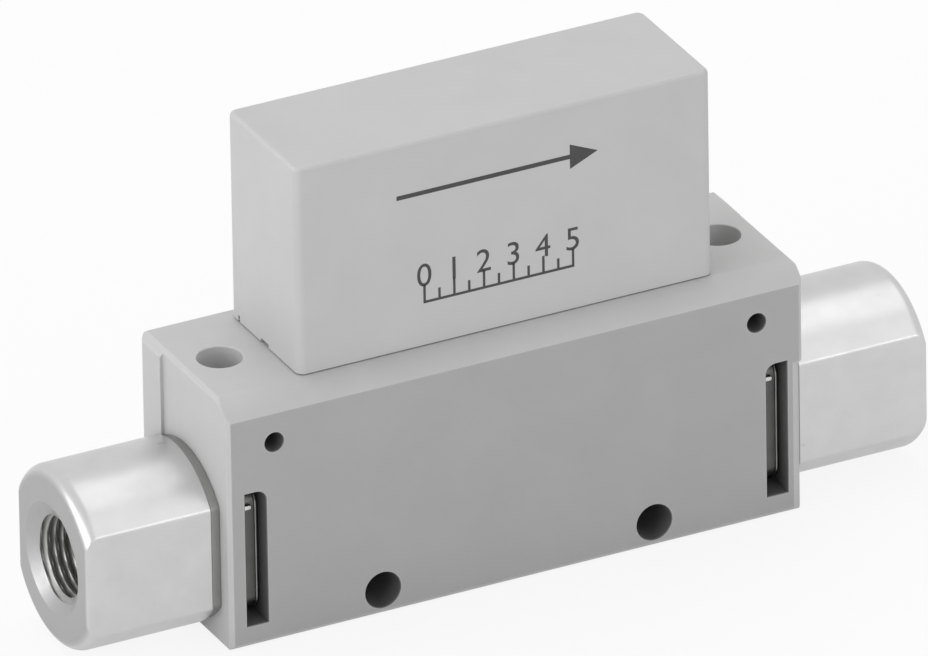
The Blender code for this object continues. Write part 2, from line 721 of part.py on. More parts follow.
def sensor_pins(material):
    """Straight pins from the carrier up to the board's front face, where they are soldered."""
    base = CARRIER_TOP + CLEARANCE
    top = BOARD_BASE + SENSOR_PIN_LAP
    for i in range(SENSOR_PINS):
        x = (i - (SENSOR_PINS - 1) / 2) * SENSOR_PIN_PITCH
        centre = (x, SENSOR_PIN_LINE, (base + top) / 2)
        name = f"sensor_pin_{i + 1}"
        rod(name, SENSOR_PIN_RADIUS, top - base, centre, steps=PIN_STEPS, material=material)


def electronics_case(material):
    middle = (CASE_FRONT + CASE_BACK) / 2
    height = CASE_TOP - CASE_BASE
    outline = rounded_rectangle(CASE_LENGTH, CASE_DEPTH, (CASE_CORNER,) * 4)
    centre = (CASE_MIDDLE, middle, CASE_BASE + height / 2)
    case = plate("electronics_case", outline, height, centre, material=material)
    bevel(case, CASE_EDGE, 2, math.radians(60))
    x = (case_x(-1, CASE_WALL), case_x(1, CASE_WALL))
    y = (CASE_FRONT + CASE_WALL, CASE_BACK - CASE_WALL)
    cut(case, box("case_inside", x, y, (CASE_BASE - CUT_MARGIN, CASE_TOP - CASE_WALL)))
    for side, end in ((-1, "left"), (1, "right")):
        join(case, *board_guides(side, end), snap(side, end, middle))
        cut(case, pry_notch(side, end, middle))
    cut(case, header_window())
    smooth(case)
    return case


def board_guides(side, end):
    """Two ribs down the case's end wall, with the board's edge between them."""
    wall = case_x(side, CASE_WALL)
    x = sorted((wall + side * CUT_MARGIN / 2, wall - side * BOARD_GUIDE_REACH))
    z = (BODY_HEIGHT + PLINTH_HEIGHT + BOARD_GUIDE_LIFT, CASE_TOP - CASE_WALL / 2)
    front = BOARD_PLACE - CLEARANCE
    back = BOARD_PLACE + BOARD_THICKNESS + CLEARANCE
    return (
        box(end + "_front_guide", x, (front - BOARD_GUIDE_WIDTH, front), z),
        box(end + "_back_guide", x, (back, back + BOARD_GUIDE_WIDTH), z),
    )


def snap(side, end, middle):
    wall = case_x(side, CASE_WALL)
    x = sorted((wall + side * CUT_MARGIN / 2, wall - side * SNAP_REACH))
    base = CASE_BASE + SNAP_PLACE
    y = (middle - SNAP_WIDTH / 2, middle + SNAP_WIDTH / 2)
    return box(end + "_snap", x, y, (base, base + SNAP_HEIGHT))


def pry_notch(side, end, middle):
    x = sorted((case_x(side, -CUT_MARGIN), case_x(side, PRY_NOTCH_DEPTH)))
    y = (middle - PRY_NOTCH_WIDTH / 2, middle + PRY_NOTCH_WIDTH / 2)
    z = (CASE_BASE - CUT_MARGIN, CASE_BASE + PRY_NOTCH_HEIGHT)
    return box(end + "_pry_notch", x, y, z)


def header_window():
    """The opening in the case's right end, and in the guide behind it, for the connector header."""
    x = (case_x(1, CASE_WALL + BOARD_GUIDE_REACH + CUT_MARGIN), case_x(1, -CUT_MARGIN))
    reach = HEADER_DEPTH / 2 + CLEARANCE
    y = (HEADER_MIDDLE - reach, HEADER_MIDDLE + reach)
    return box("header_window", x, y, (HEADER_BASE - CLEARANCE, HEADER_BASE + HEADER_HEIGHT + CLEARANCE))


def header_levels():
    """The height of each connector pin."""
    middle = HEADER_BASE + HEADER_HEIGHT / 2
    return [middle + (i - (HEADER_PINS - 1) / 2) * HEADER_PIN_PITCH for i in range(HEADER_PINS)]


def connector(resin, brass):
    """A header lying on the board's front face, its socket open to the right through the case's end."""
    rear = HEADER_MOUTH - HEADER_LENGTH
    floor = rear + HEADER_FLOOR
    half = HEADER_DEPTH / 2
    top = HEADER_BASE + HEADER_HEIGHT
    y = (HEADER_MIDDLE - half, HEADER_MIDDLE + half)
    header = box("connector_header", (rear, HEADER_MOUTH), y, (HEADER_BASE, top), resin)
    inner_y = (y[0] + HEADER_WALL, y[1] - HEADER_WALL)
    inner_z = (HEADER_BASE + HEADER_WALL, top - HEADER_WALL)
    cut(header, box("header_cavity", (floor, HEADER_MOUTH + CUT_MARGIN), inner_y, inner_z))
    hole_radius = HEADER_PIN_RADIUS + CLEARANCE
    for i, level in enumerate(header_levels()):
        centre = ((rear + floor) / 2, HEADER_MIDDLE, level)
        length = HEADER_FLOOR + 2 * CUT_MARGIN
        cut(header, rod(f"header_hole_{i + 1}", hole_radius, length, centre, ALONG_X, PIN_STEPS))
        connector_pin(f"connector_pin_{i + 1}", level, floor + HEADER_PIN_REACH, brass)


def connector_pin(name, level, tip, material):
    """A square pin that goes through the header's floor and turns into the board."""
    curve = bpy.data.curves.new(name, "CURVE")
    curve.dimensions = "3D"
    curve.bevel_depth = HEADER_PIN_RADIUS
    curve.bevel_resolution = 0
    curve.use_fill_caps = True
    spline = curve.splines.new("POLY")
    tail = BOARD_PLACE + BOARD_THICKNESS + HEADER_PIN_THROUGH
    route = [
        (tip, HEADER_MIDDLE, level),
        (HEADER_PIN_BEND, HEADER_MIDDLE, level),
        (HEADER_PIN_BEND, tail, level),
    ]
    spline.points.add(len(route) - 1)
    for point, place in zip(spline.points, route):
        point.co = (*place, 1)
    obj = bpy.data.objects.new(name, curve)
    bpy.context.scene.collection.objects.link(obj)
    return finish(obj, material)


def main_board(laminate):
    """The circuit board, upright in the case's guides, with holes for the connector's pins."""
    top = CASE_TOP - CASE_WALL - 2 * CLEARANCE
    y = (BOARD_PLACE, BOARD_PLACE + BOARD_THICKNESS)
    x = (CASE_MIDDLE - BOARD_END, CASE_MIDDLE + BOARD_END)
    board = box("main_board", x, y, (BOARD_BASE, top), laminate)
    for i, level in enumerate(header_levels()):
        centre = (HEADER_PIN_BEND, BOARD_PLACE + BOARD_THICKNESS / 2, level)
        length = BOARD_THICKNESS + 2 * CUT_MARGIN
        radius = HEADER_PIN_RADIUS + CLEARANCE
        cut(board, rod(f"board_hole_{i + 1}", radius, length, centre, FACING_FRONT, PIN_STEPS))


def on_board(name, place, length, lift, height, y, material):
    """A flat part on the board, placed from the board's left end and lower edge."""
    x = CASE_MIDDLE - BOARD_END + place
    z = BOARD_BASE + lift
    box(name, (x, x + length), y, (z, z + height), material)


def board_parts(package, metal):
    """Two chips, a crystal and a can capacitor on the board's front, and a regulator behind it."""
    front = BOARD_PLACE - CLEARANCE
    back = BOARD_PLACE + BOARD_THICKNESS + CLEARANCE
    size = MICROCONTROLLER_SIZE
    y = (front - MICROCONTROLLER_THICKNESS, front)
    on_board("microcontroller", MICROCONTROLLER_PLACE, size, MICROCONTROLLER_LIFT, size, y, package)
    y = (front - AMPLIFIER_THICKNESS, front)
    place, length = AMPLIFIER_PLACE, AMPLIFIER_LENGTH
    on_board("amplifier_chip", place, length, AMPLIFIER_LIFT, AMPLIFIER_HEIGHT, y, package)
    y = (front - CRYSTAL_THICKNESS, front)
    on_board("crystal", CRYSTAL_PLACE, CRYSTAL_LENGTH, CRYSTAL_LIFT, CRYSTAL_HEIGHT, y, metal)
    y = (back, back + REGULATOR_THICKNESS)
    place, length = REGULATOR_PLACE, REGULATOR_LENGTH
    on_board("regulator_chip", place, length, REGULATOR_LIFT, REGULATOR_HEIGHT, y, package)
    x = HEADER_PIN_BEND - CAPACITOR_TO_PINS
    centre = (x, front - CAPACITOR_LENGTH / 2, BOARD_BASE + CAPACITOR_LIFT)
    rod("buffer_capacitor", CAPACITOR_RADIUS, CAPACITOR_LENGTH, centre, FACING_FRONT, HOLE_STEPS, metal)


empty_scene()
PARTS = new_collection("airflow_sensor")
CUTTERS = new_collection("cutters")

body_resin = new_material("body_resin", (0.34, 0.34, 0.345), 0.55)
case_resin = new_material("case_resin", (0.50, 0.50, 0.505), 0.50)
fitting_metal = new_material("fitting_metal", (0.74, 0.74, 0.73), 0.22, 1.0)
clip_steel = new_material("clip_steel", (0.62, 0.62, 0.62), 0.30, 1.0)
seal_rubber = new_material("seal_rubber", (0.02, 0.02, 0.02), 0.65)
screen_steel = new_material("screen_steel", (0.55, 0.55, 0.54), 0.35, 1.0)
spacer_resin = new_material("spacer_resin", (0.75, 0.74, 0.70), 0.50)
carrier_ceramic = new_material("carrier_ceramic", (0.85, 0.85, 0.82), 0.45)
chip_silicon = new_material("chip_silicon", (0.12, 0.13, 0.17), 0.15, 0.5)
board_laminate = new_material("board_laminate", (0.03, 0.18, 0.08), 0.40)
header_resin = new_material("header_resin", (0.80, 0.79, 0.75), 0.45)
pin_brass = new_material("pin_brass", (0.83, 0.69, 0.36), 0.28, 1.0)
chip_package = new_material("chip_package", (0.03, 0.03, 0.03), 0.50)
can_metal = new_material("can_metal", (0.70, 0.70, 0.70), 0.30, 1.0)

flow_body(body_resin)
for label, direction in (("inlet", -1), ("outlet", 1)):
    fitting(label + "_fitting", direction, fitting_metal)
    retaining_clip(label + "_clip", direction, clip_steel)
    o_ring(label + "_o_ring", direction, seal_rubber)
straighteners(screen_steel, spacer_resin)
sensing_element(seal_rubber, carrier_ceramic, chip_silicon)
sensor_clamp(spacer_resin, clip_steel)
sensor_pins(pin_brass)
electronics_case(case_resin)
connector(header_resin, pin_brass)
main_board(board_laminate)
board_parts(chip_package, can_metal)
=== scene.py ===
"""Looks of the inline airflow sensor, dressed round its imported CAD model.

Metres, +Z up. The air flows along X, the front with the clip slots faces -Y, and the origin is under the
middle of the body, on its base.
"""

import math

import bmesh
import bpy
from mathutils import Matrix, Vector


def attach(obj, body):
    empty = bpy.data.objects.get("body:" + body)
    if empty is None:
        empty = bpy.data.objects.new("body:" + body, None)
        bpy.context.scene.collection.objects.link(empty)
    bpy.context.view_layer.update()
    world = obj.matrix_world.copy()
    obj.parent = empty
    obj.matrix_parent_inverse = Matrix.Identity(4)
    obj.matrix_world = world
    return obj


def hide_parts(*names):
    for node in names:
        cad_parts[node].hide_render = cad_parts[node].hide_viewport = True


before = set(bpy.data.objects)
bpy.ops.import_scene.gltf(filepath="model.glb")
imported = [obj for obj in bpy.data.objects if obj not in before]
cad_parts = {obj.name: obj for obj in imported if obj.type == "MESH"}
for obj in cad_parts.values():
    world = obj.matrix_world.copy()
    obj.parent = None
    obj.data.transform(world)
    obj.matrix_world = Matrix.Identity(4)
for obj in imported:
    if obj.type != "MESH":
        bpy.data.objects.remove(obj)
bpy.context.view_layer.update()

# Flow body: one moulding of glass-filled PBT, bored from end to end, with a rib along its back.
# A shallow round with faint creases runs along its front top edge, and a large one beside the outlet's slot.
# Steel cores leave the two clip slots, the two screw holes and the two small holes smooth; they, the bore,
# the snap recess and the well are painted dark grey, as painted shade.
body_end, body_front, body_back, body_top = 0.033, -0.0098, 0.0098, 0.0281
round_drop, round_reach, round_crease = 0.0020, 0.0026, 13
body_edge, body_break, break_angle = 0.0004, 0.00012, 24
rib_depth, rib_proud, rib_corner = 0.0050, 0.0004, 0.0012
top_bevel = 0.0008
end_round, end_round_top = 0.0015, 0.0172
axis_height = 0.0100
spigot_bore, screen_bore, passage = 0.0075, 0.0060, 0.0040
spigot_stop, screen_stop = 0.0227, 0.0189
slot_place, slot_width, slot_height = 0.0299, 0.0024, 0.0152
slot_corner, slot_reach, least_corner = 0.0011, 0.0150, 0.00001
mount_x, mount_z, mount_radius = 0.0156, 0.00275, 0.0020
pilot_x, pilot_z, pilot_radius = 0.02765, 0.02285, 0.00105
pocket_x, pocket_radius, pocket_depth = 0.0286, 0.0024, 0.0032
plinth_top, case_wall, fit = 0.0299, 0.0015, 0.0003
case_end, case_shift, case_front, case_back = 0.02375, 0.0003, -0.0072, 0.0084
case_base, case_top = 0.02825, 0.0517
case_middle = (case_front + case_back) / 2
snap_half, snap_low, snap_high, snap_reach = 0.0020, 0.0286, 0.0292, 0.0008
well_x, well_y, well_floor = 0.0080, 0.0044, 0.0162
window_x, window_y = 0.0040, 0.0022
ear_x, ear_y, ear_floor = 0.0124, 0.0025, 0.0270
mouth_break, reach_past = 0.00008, 0.001
# The last grey is painted shade in the slots, holes, bore, snap recess and well.
# The second grey is painted shade on the flat front faces; the third pales the edges, rub wear and a painted
# highlight.
body_colour, panel_shade_colour, wear_and_highlight_colour, recess_shade_colour = "#c6c6c6", "#adadad", "#cdcdcd", "#6a6a6a"
panel_facing, panel_skin = 0.985, 0.0001
# The paler edges are rub wear and a painted highlight.
wear_reach, wear_start, wear_full, wear_most = 0.0003, 0.997, 0.93, 0.6
body_grain_mm, body_rub_mm, recess_cloud_mm = 0.22, 2.5, 1.43
pbt_ior = 1.55
maths = "ShaderNodeMath"


def in_scene(name, data):
    """A new object in the scene, from a mesh, a text, a lamp or a camera."""
    thing = bpy.data.objects.new(name, data)
    bpy.context.scene.collection.objects.link(thing)
    return thing


def meshed(name, shape):
    """A new object from a shape in the making, which is used up."""
    mesh = bpy.data.meshes.new(name)
    shape.to_mesh(mesh)
    shape.free()
    return in_scene(name, mesh)


def loft(name, sections):
    """Joins like outlines point to point into one closed skin, capped at both ends."""
    shape = bmesh.new()
    rows = [[shape.verts.new(point) for point in section] for section in sections]
    for first, second in zip(rows, rows[1:]):
        for i in range(len(first)):
            shape.faces.new((first[i - 1], first[i], second[i], second[i - 1]))
    shape.faces.new(rows[0])
    shape.faces.new(rows[-1])
    bmesh.ops.remove_doubles(shape, verts=shape.verts, dist=1e-7)
    bmesh.ops.recalc_face_normals(shape, faces=shape.faces)
    return meshed(name, shape)


def placed(outline, level, axes):
    """An outline's points in space: axes names the two directions it is drawn in and the one of its level."""
    order = ["xyz".index(axis) for axis in axes]
    points = []
    for across, up in outline:
        point = [0.0, 0.0, 0.0]
        for axis, value in zip(order, (across, up, level)):
            point[axis] = value
        points.append(point)
    return points


def prism(name, outline, low, high, axes="xyz"):
    return loft(name, [placed(outline, low, axes), placed(outline, high, axes)])


def block(name, x, y, z):
    return prism(name, [(x[0], y[0]), (x[1], y[0]), (x[1], y[1]), (x[0], y[1])], *z)


def arc(centre, radius, start, end, steps):
    angles = [math.radians(start + (end - start) * i / steps) for i in range(steps + 1)]
    return [(centre[0] + radius * math.cos(a), centre[1] + radius * math.sin(a)) for a in angles]


def turned(name, profile, centre, axes, steps=64):
    """Turns (radius, distance) points about a line through the centre; axes names the line last."""
    sections = []
    for radius, distance in profile:
        level = centre["xyz".index(axes[2])] + distance
        middle = [centre["xyz".index(axis)] for axis in axes[:2]]
        sections.append(placed(arc(middle, radius, 0, 360, steps)[:-1], level, axes))
    return loft(name, sections)


def rounded(width, height, radii, steps=6):
    """Counter-clockwise outline about the origin, with a radius for each corner from the lower left."""
    corners = ((-1, -1, 180), (1, -1, 270), (1, 1, 0), (-1, 1, 90))
    outline = []
    for (side, level, start), radius in zip(corners, radii):
        centre = (side * (width / 2 - radius), level * (height / 2 - radius))
        outline += arc(centre, radius, start, start + 90, steps)
    return outline


def settle(piece):
    """Makes what a piece's modifiers give its own mesh."""
    graph = bpy.context.evaluated_depsgraph_get()
    mesh = bpy.data.meshes.new_from_object(piece.evaluated_get(graph))
    piece.modifiers.clear()
    piece.data = mesh


def combine(piece, operation, *tools):
    """Cuts, joins or meets a piece with others in turn, makes the result its mesh, and removes the others."""
    for tool in tools:
        step = piece.modifiers.new(tool.name, "BOOLEAN")
        step.operation = operation
        step.object = tool
        step.solver = "EXACT"
        step.material_mode = "TRANSFER"
    settle(piece)
    for tool in tools:
        bpy.data.objects.remove(tool, do_unlink=True)


def painted(finish, *pieces):
    for piece in pieces:
        piece.data.materials.clear()
        piece.data.materials.append(finish)
    return pieces


def case_x(side, inset=0.0):
    """Where the left or right end of the electronics case is, or a plane inside that end."""
    return case_shift + side * (case_end - inset)


def soften(piece, width, segments=2, angle=30):
    edge = piece.modifiers.new("Edges", "BEVEL")
    edge.width = width
    edge.segments = segments
    edge.limit_method = "ANGLE"
    edge.angle_limit = math.radians(angle)
    settle(piece)


def shade(piece, angle=12):
    """Smooth shading with crisp edges past an angle, and flat faces that keep their own normals."""
    piece.data.shade_smooth()
    piece.data.set_sharp_from_angle(angle=math.radians(angle))
    level = piece.modifiers.new("Flats", "WEIGHTED_NORMAL")
    level.keep_sharp = True


def hole(name, radius, centre, axes, depths, mouths=(True, True)):
    """A round cutter between two depths, with the sharp edge taken off at the mouths that are asked for."""
    low, high = depths
    flare = radius + mouth_break + reach_past
    profile = [(0, low - reach_past * mouths[0])]
    profile += [(flare, low - reach_past), (radius, low + mouth_break)] if mouths[0] else [(radius, low)]
    profile += [(radius, high - mouth_break), (flare, high + reach_past)] if mouths[1] else [(radius, high)]
    profile += [(0, high + reach_past * mouths[1])]
    return turned(name, profile, centre, axes, 48)


def body_block():
    """The plan, the end view and the front view of the body, met in one solid with its plinth."""
    rib_end, rib_front = body_end + rib_proud, body_back - rib_depth
    plan = [(body_end - body_edge, body_front), (body_end, body_front + body_edge)]
    plan += [(body_end, rib_front), (rib_end, rib_front)]
    plan += arc((rib_end - rib_corner, body_back - rib_corner), rib_corner, 0, 90, 8)
    lean = math.degrees(math.atan2(round_drop, round_reach))
    radius = math.hypot(round_reach, round_drop) / (2 * math.sin(math.radians(lean - round_crease)))
    start = math.radians(90 + round_crease)
    centre = (body_front + round_reach - radius * math.cos(start), body_top - radius * math.sin(start))
    side = [(body_front, body_edge), (body_front + body_edge, 0), (body_back - body_edge, 0)]
    side += [(body_back, body_edge), (body_back, body_top - body_edge), (body_back - body_edge, body_top)]
    side += arc(centre, radius, 90 + round_crease, 90 + 2 * lean - round_crease, 12)
    front = [(rib_end, 0), (rib_end, body_top - top_bevel), (rib_end - top_bevel, body_top)]
    mirrored = [(-x, y) for x, y in reversed(plan)]
    body = prism("moulded_body", plan + mirrored, 0, body_top)
    side = prism("side", side, -body_end - reach_past, body_end + reach_past, "yzx")
    front = front + [(-x, z) for x, z in reversed(front)]
    front = prism("front", front, body_front - reach_past, body_back + reach_past, "xzy")
    combine(body, "INTERSECT", side, front)
    soften(body, body_break, 2, break_angle)
    edge = case_wall + fit
    x = (case_x(-1, edge), case_x(1, edge))
    y = (case_front + edge, case_back - edge)
    combine(body, "UNION", block("plinth", x, y, (body_top - reach_past, plinth_top)))
    return body


def end_cutters(side, end):
    """What one end of the body loses: the clip's slot, the round corner, the holes and the pocket."""
    radii = (0, 0, slot_corner, 0) if side < 0 else (0, 0, 0, slot_corner)
    outline = rounded(slot_width, slot_height, [radius + least_corner for radius in radii])
    slot = []
    levels = ((-reach_past, mouth_break + reach_past), (mouth_break, 0), (slot_reach, 0))
    for depth, grown in levels:
        wide, high = 1 + 2 * grown / slot_width, 1 + 2 * grown / slot_height
        grown_outline = [(side * slot_place + x * wide, axis_height + z * high) for x, z in outline]
        slot.append(placed(grown_outline, body_front + depth, "xzy"))
    far = end_round + reach_past
    corner = [(far, -far), (far, end_round), *arc((0, end_round), end_round, 0, -90, 10), (0, -far)]
    corner = [(side * (body_end - end_round + x), body_front + y) for x, y in corner]
    through = (body_front, body_back)
    pocket = (side * pocket_x, case_middle, body_top)
    grained = [hole(end + "_pocket", pocket_radius, pocket, "xyz", (-pocket_depth, 0), (False, True))]
    if side > 0:
        grained.append(prism(end + "_corner", corner, -reach_past, end_round_top))
    # The slot and the two holes take the dark finish: painted shade.
    shaded_cuts = (
        loft(end + "_slot", slot),
        hole(end + "_mount", mount_radius, (side * mount_x, 0, mount_z), "xzy", through),
        hole(end + "_pilot", pilot_radius, (side * pilot_x, 0, pilot_z), "xzy", through),
    )
    return grained, shaded_cuts


def bore():
    """The passage for the air, wider at both ends for the screens and the spigots."""
    half = [(spigot_bore + mouth_break + reach_past, body_end + reach_past)]
    half += [(spigot_bore, body_end - mouth_break), (spigot_bore, spigot_stop), (screen_bore, spigot_stop)]
    half += [(screen_bore, screen_stop), (passage, screen_stop)]
    far = body_end + reach_past
    profile = [(0, far), *half, *[(r, -x) for r, x in reversed(half)], (0, -far)]
    return turned("bore", profile, (0, 0, axis_height), "yzx", 96)


def sensor_well():
    """The well under the case for the sensing element, its window on the passage, and the clamp's seats."""
    top = plinth_top + reach_past
    return (
        block("well", (-well_x, well_x), (-well_y, well_y), (well_floor, top)),
        block("window", (-window_x, window_x), (-window_y, window_y), (axis_height, well_floor + reach_past)),
        block("ears", (-ear_x, ear_x), (-ear_y, ear_y), (ear_floor, top)),
    )


def snap_recess(side):
    """The groove in the end of the plinth that the case's snap catches in."""
    edge = case_x(side, case_wall + fit)
    x = sorted((edge + side * reach_past, edge - side * snap_reach))
    y = (case_middle - snap_half - fit, case_middle + snap_half + fit)
    return block("recess", x, y, (snap_low - fit, snap_high + fit))


def moulded_body(skin, core):
    body = body_block()
    painted(skin, body)
    # The bore, the slots, the holes, the snap recess and the well take the dark finish: painted shade.
    combine(body, "DIFFERENCE", *painted(core, bore()))
    for side, end in ((-1, "inlet"), (1, "outlet")):
        grained, shaded_cuts = end_cutters(side, end)
        combine(body, "DIFFERENCE", *painted(skin, *grained), *painted(core, *shaded_cuts))
        combine(body, "DIFFERENCE", *painted(core, snap_recess(side)))
    for cutter in sensor_well():
        combine(body, "DIFFERENCE", *painted(core, cutter))
    shade(body)
    return body


def to_linear(code):
    """An sRGB hex colour as linear red, green, blue and alpha."""
    parts = [int(code[i : i + 2], 16) / 255 for i in (1, 3, 5)]
    return [p / 12.92 if p <= 0.04045 else ((p + 0.055) / 1.055) ** 2.4 for p in parts] + [1.0]


def feed(node, inputs):
    """Sets a node's inputs, by name or in order, to values, outputs, or other nodes' first outputs."""
    for key, value in inputs.items() if isinstance(inputs, dict) else enumerate(inputs):
        if isinstance(value, bpy.types.Node):
            value = value.outputs[0]
        if isinstance(value, bpy.types.NodeSocket):
            node.id_data.links.new(value, node.inputs[key])
        else:
            node.inputs[key].default_value = value


def add(tree, kind, inputs=(), **settings):
    """Adds a node with its own settings, and feeds it."""
    node = tree.nodes.new(kind)
    for key, value in settings.items():
        setattr(node, key, value)
    feed(node, inputs)
    return node


def new_finish(name):
    """An empty material with its shader, and the piece's own coordinates."""
    finish = bpy.data.materials.new(name)
    finish.use_nodes = True
    tree = finish.node_tree
    tree.nodes.clear()
    shader = add(tree, "ShaderNodeBsdfPrincipled")
    add(tree, "ShaderNodeOutputMaterial", {"Surface": shader})
    return finish, tree, shader, add(tree, "ShaderNodeTexCoord").outputs["Object"]


def mottled(tree, place, size_mm, code, low, high, spread=0.5):
    """A colour that drifts between two strengths of itself, in clouds as wide as the size given."""
    cloud = {"Vector": place, "Scale": 1000 / size_mm, "Detail": 3.0, "Roughness": 0.55}
    ramp = add(tree, "ShaderNodeValToRGB", {"Fac": add(tree, "ShaderNodeTexNoise", cloud)})
    for stop, side, strength in zip(ramp.color_ramp.elements, (-1, 1), (low, high)):
        stop.position = 0.5 + side * spread / 2
        stop.color = [part * strength for part in to_linear(code)[:3]] + [1.0]
    return ramp


def worn_edges(tree, colour, edge_tone):
    """Rubbed corners and a painted highlight along them: another colour comes through where a rounded normal
    parts from the true one.

    A Mix node takes two colours at its inputs 6 and 7 and gives the mixed one at its output 2.
    """
    soft = add(tree, "ShaderNodeBevel", {"Radius": wear_reach}, samples=4)
    true = add(tree, "ShaderNodeNewGeometry").outputs["Normal"]
    together = add(tree, "ShaderNodeVectorMath", [soft, true], operation="DOT_PRODUCT").outputs["Value"]
    share = {"Value": together, "From Min": wear_start, "From Max": wear_full, "To Max": wear_most}
    both = {"Factor": add(tree, "ShaderNodeMapRange", share), 6: colour, 7: to_linear(edge_tone)}
    return add(tree, "ShaderNodeMix", both, data_type="RGBA").outputs[2]


def weathered(tree, shader, place, size_mm, rough, detail=3.0, strength=0.0, relief_mm=0.0):
    """Clouds of that size set how rough a surface is, and give it a little relief where one is asked for."""
    cloud = add(tree, "ShaderNodeTexNoise", {"Vector": place, "Scale": 1000 / size_mm, "Detail": detail})
    span = {"Value": cloud, "From Min": 0.3, "From Max": 0.7, "To Min": rough[0], "To Max": rough[1]}
    feed(shader, {"Roughness": add(tree, "ShaderNodeMapRange", span)})
    if strength:
        relief = {"Height": cloud, "Strength": strength, "Distance": relief_mm / 1000}
        feed(shader, {"Normal": add(tree, "ShaderNodeBump", relief)})


def resin_grain(tree, place, grain_mm, depth_mm):
    """The skin of a spark-eroded mould: small rounded pits of one size, with finer ones between them."""
    cells = {"Vector": place, "Scale": 1000 / grain_mm, "Randomness": 1.0, "Smoothness": 0.6}
    pits = add(tree, "ShaderNodeTexVoronoi", cells, feature="SMOOTH_F1")
    dust = add(tree, "ShaderNodeTexNoise", {"Vector": place, "Scale": 2600 / grain_mm, "Detail": 2.0})
    both = add(tree, maths, [pits, dust], operation="ADD")
    return add(tree, "ShaderNodeBump", {"Height": both, "Strength": 0.35, "Distance": depth_mm / 1000})


def glass_filled_pbt():
    """Glass-filled PBT, moulded: matt and even, with a faint cloud of fibres, and paler edges of rub wear and
    painted highlight.

    The flat front faces, below the round, are painted darker: painted shade.
    """
    finish, tree, shader, place = new_finish("glass_filled_pbt_moulded")
    # The flat faces that look forward at the front are painted a darker grey: painted shade.
    normal = add(tree, "ShaderNodeNewGeometry").outputs["Normal"]
    facing = add(tree, "ShaderNodeSeparateXYZ", [normal]).outputs["Y"]
    facing = add(tree, maths, [facing, -panel_facing], operation="LESS_THAN")
    forward = add(tree, "ShaderNodeSeparateXYZ", [place]).outputs["Y"]
    forward = add(tree, maths, [forward, body_front + panel_skin], operation="LESS_THAN")
    colour = {
        "Factor": add(tree, maths, [facing, forward], operation="MULTIPLY"),
        6: mottled(tree, place, 6.0, body_colour, 0.97, 1.03),
        7: mottled(tree, place, 9.0, panel_shade_colour, 0.97, 1.03),
    }
    colour = add(tree, "ShaderNodeMix", colour, data_type="RGBA").outputs[2]
    # Paler edges: rub wear and a painted highlight.
    colour = worn_edges(tree, colour, wear_and_highlight_colour)
    grain = resin_grain(tree, place, body_grain_mm, 0.02)
    feed(shader, {"Base Color": colour, "Normal": grain, "IOR": pbt_ior})
    weathered(tree, shader, place, body_rub_mm, (0.50, 0.60), 4.0)
    return finish


def cored_pbt():
    """The same resin where steel cores shaped it: smooth, and painted dark grey, painted shade in the slots,
    holes and bore.
    """
    finish, tree, shader, place = new_finish("glass_filled_pbt_recess_shade")
    colour = mottled(tree, place, 2.5, recess_shade_colour, 0.85, 1.10)
    feed(shader, {"Base Color": colour, "IOR": pbt_ior})
    weathered(tree, shader, place, recess_cloud_mm, (0.38, 0.52))
    return finish


body = moulded_body(glass_filled_pbt(), cored_pbt())
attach(body, "root")
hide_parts("flow_body")

# Port fittings: turned from brass bar and nickel plated, with a rounded end and two milled spanner flats.
# The port is countersunk and has a 1/8-inch taper pipe thread, and a grooved spigot goes into the body.
# The clip leaves some play: the inlet's shoulder stands 1 mm off the body, the outlet's nearly touches it.
fitting_reach, fitting_radius, fitting_edge = 0.0154, 0.00985, 0.0015
inlet_gap, outlet_gap, neck_gap, neck_inset = 0.0010, 0.0003, 0.00005, 0.00025
flat_half, flat_blend, flat_end_round = 0.0080, 0.0009, 0.0006
spigot_radius, spigot_length, spigot_chamfer = 0.0072, 0.0100, 0.0006
clip_place, clip_groove_radius = 0.0031, 0.0060
seal_place, seal_half, seal_floor = 0.0062, 0.0010, 0.0055
port_mouth, port_core, port_depth, port_taper = 0.0061, 0.00435, 0.0095, 1 / 32
port_columns, port_rows = 72, 132
bore_radius, bore_inset = 0.0035, 0.002
cone_slope = math.tan(math.radians(60))
thread_pitch, thread_depth, thread_crest, thread_root = 0.000907, 0.00058, 0.14, 0.88
run_out_end, run_out_start = 0.0002, 0.0014
bar_break, hair = 0.00015, 0.000001
# The three darker tones paint shade: on the faced ends, on the neck by the body, and down the thread and
# bore; the neck's tone also colours the scuffs.
nickel_colour, face_shade_colour, scuff_and_shade_colour, thread_shade_colour = "#dadada", "#b8b8b8", "#a4a4a3", "#aeaeac"
ring_mm, mill_mm, scuff_mm, haze_mm, thread_cloud_mm = 0.1111, 0.667, 2.38, 3.33, 1.11
mark_strength, mark_depth, plate_fade = 0.16, 0.00002, 0.0002


def spaced(first, last, count):
    return [first + (last - first) * i / count for i in range(count + 1)]


def quarter_section(radius, flat):
    """A quarter of the bar's outline as (y, z), from the middle of its flat to its top."""
    if not flat:
        return [(radius * math.cos(a), radius * math.sin(a)) for a in spaced(0, math.pi / 2, 26)]
    blend = min(flat_blend, (radius - flat) / 2 + hair)
    reach = math.sqrt((radius - blend) ** 2 - (flat - blend) ** 2)
    start = math.atan2(reach, flat - blend)
    points = [(flat, reach * i / 4) for i in range(4)]
    points += [(flat - blend + blend * math.cos(a), reach + blend * math.sin(a)) for a in spaced(0, start, 7)]
    return points + [(radius * math.cos(a), radius * math.sin(a)) for a in spaced(start, math.pi / 2, 15)[1:]]


def bar_section(radius, x, flat):
    """A cross-section of the bar: a circle, cut by two flats where their distance from the axis is given."""
    quarter = quarter_section(radius, flat)
    half = [(y, -z) for y, z in reversed(quarter[1:])] + quarter
    points = half[:-1] + [(-y, z) for y, z in reversed(half)][:-1]
    return [(x, y, axis_height + z) for y, z in points]


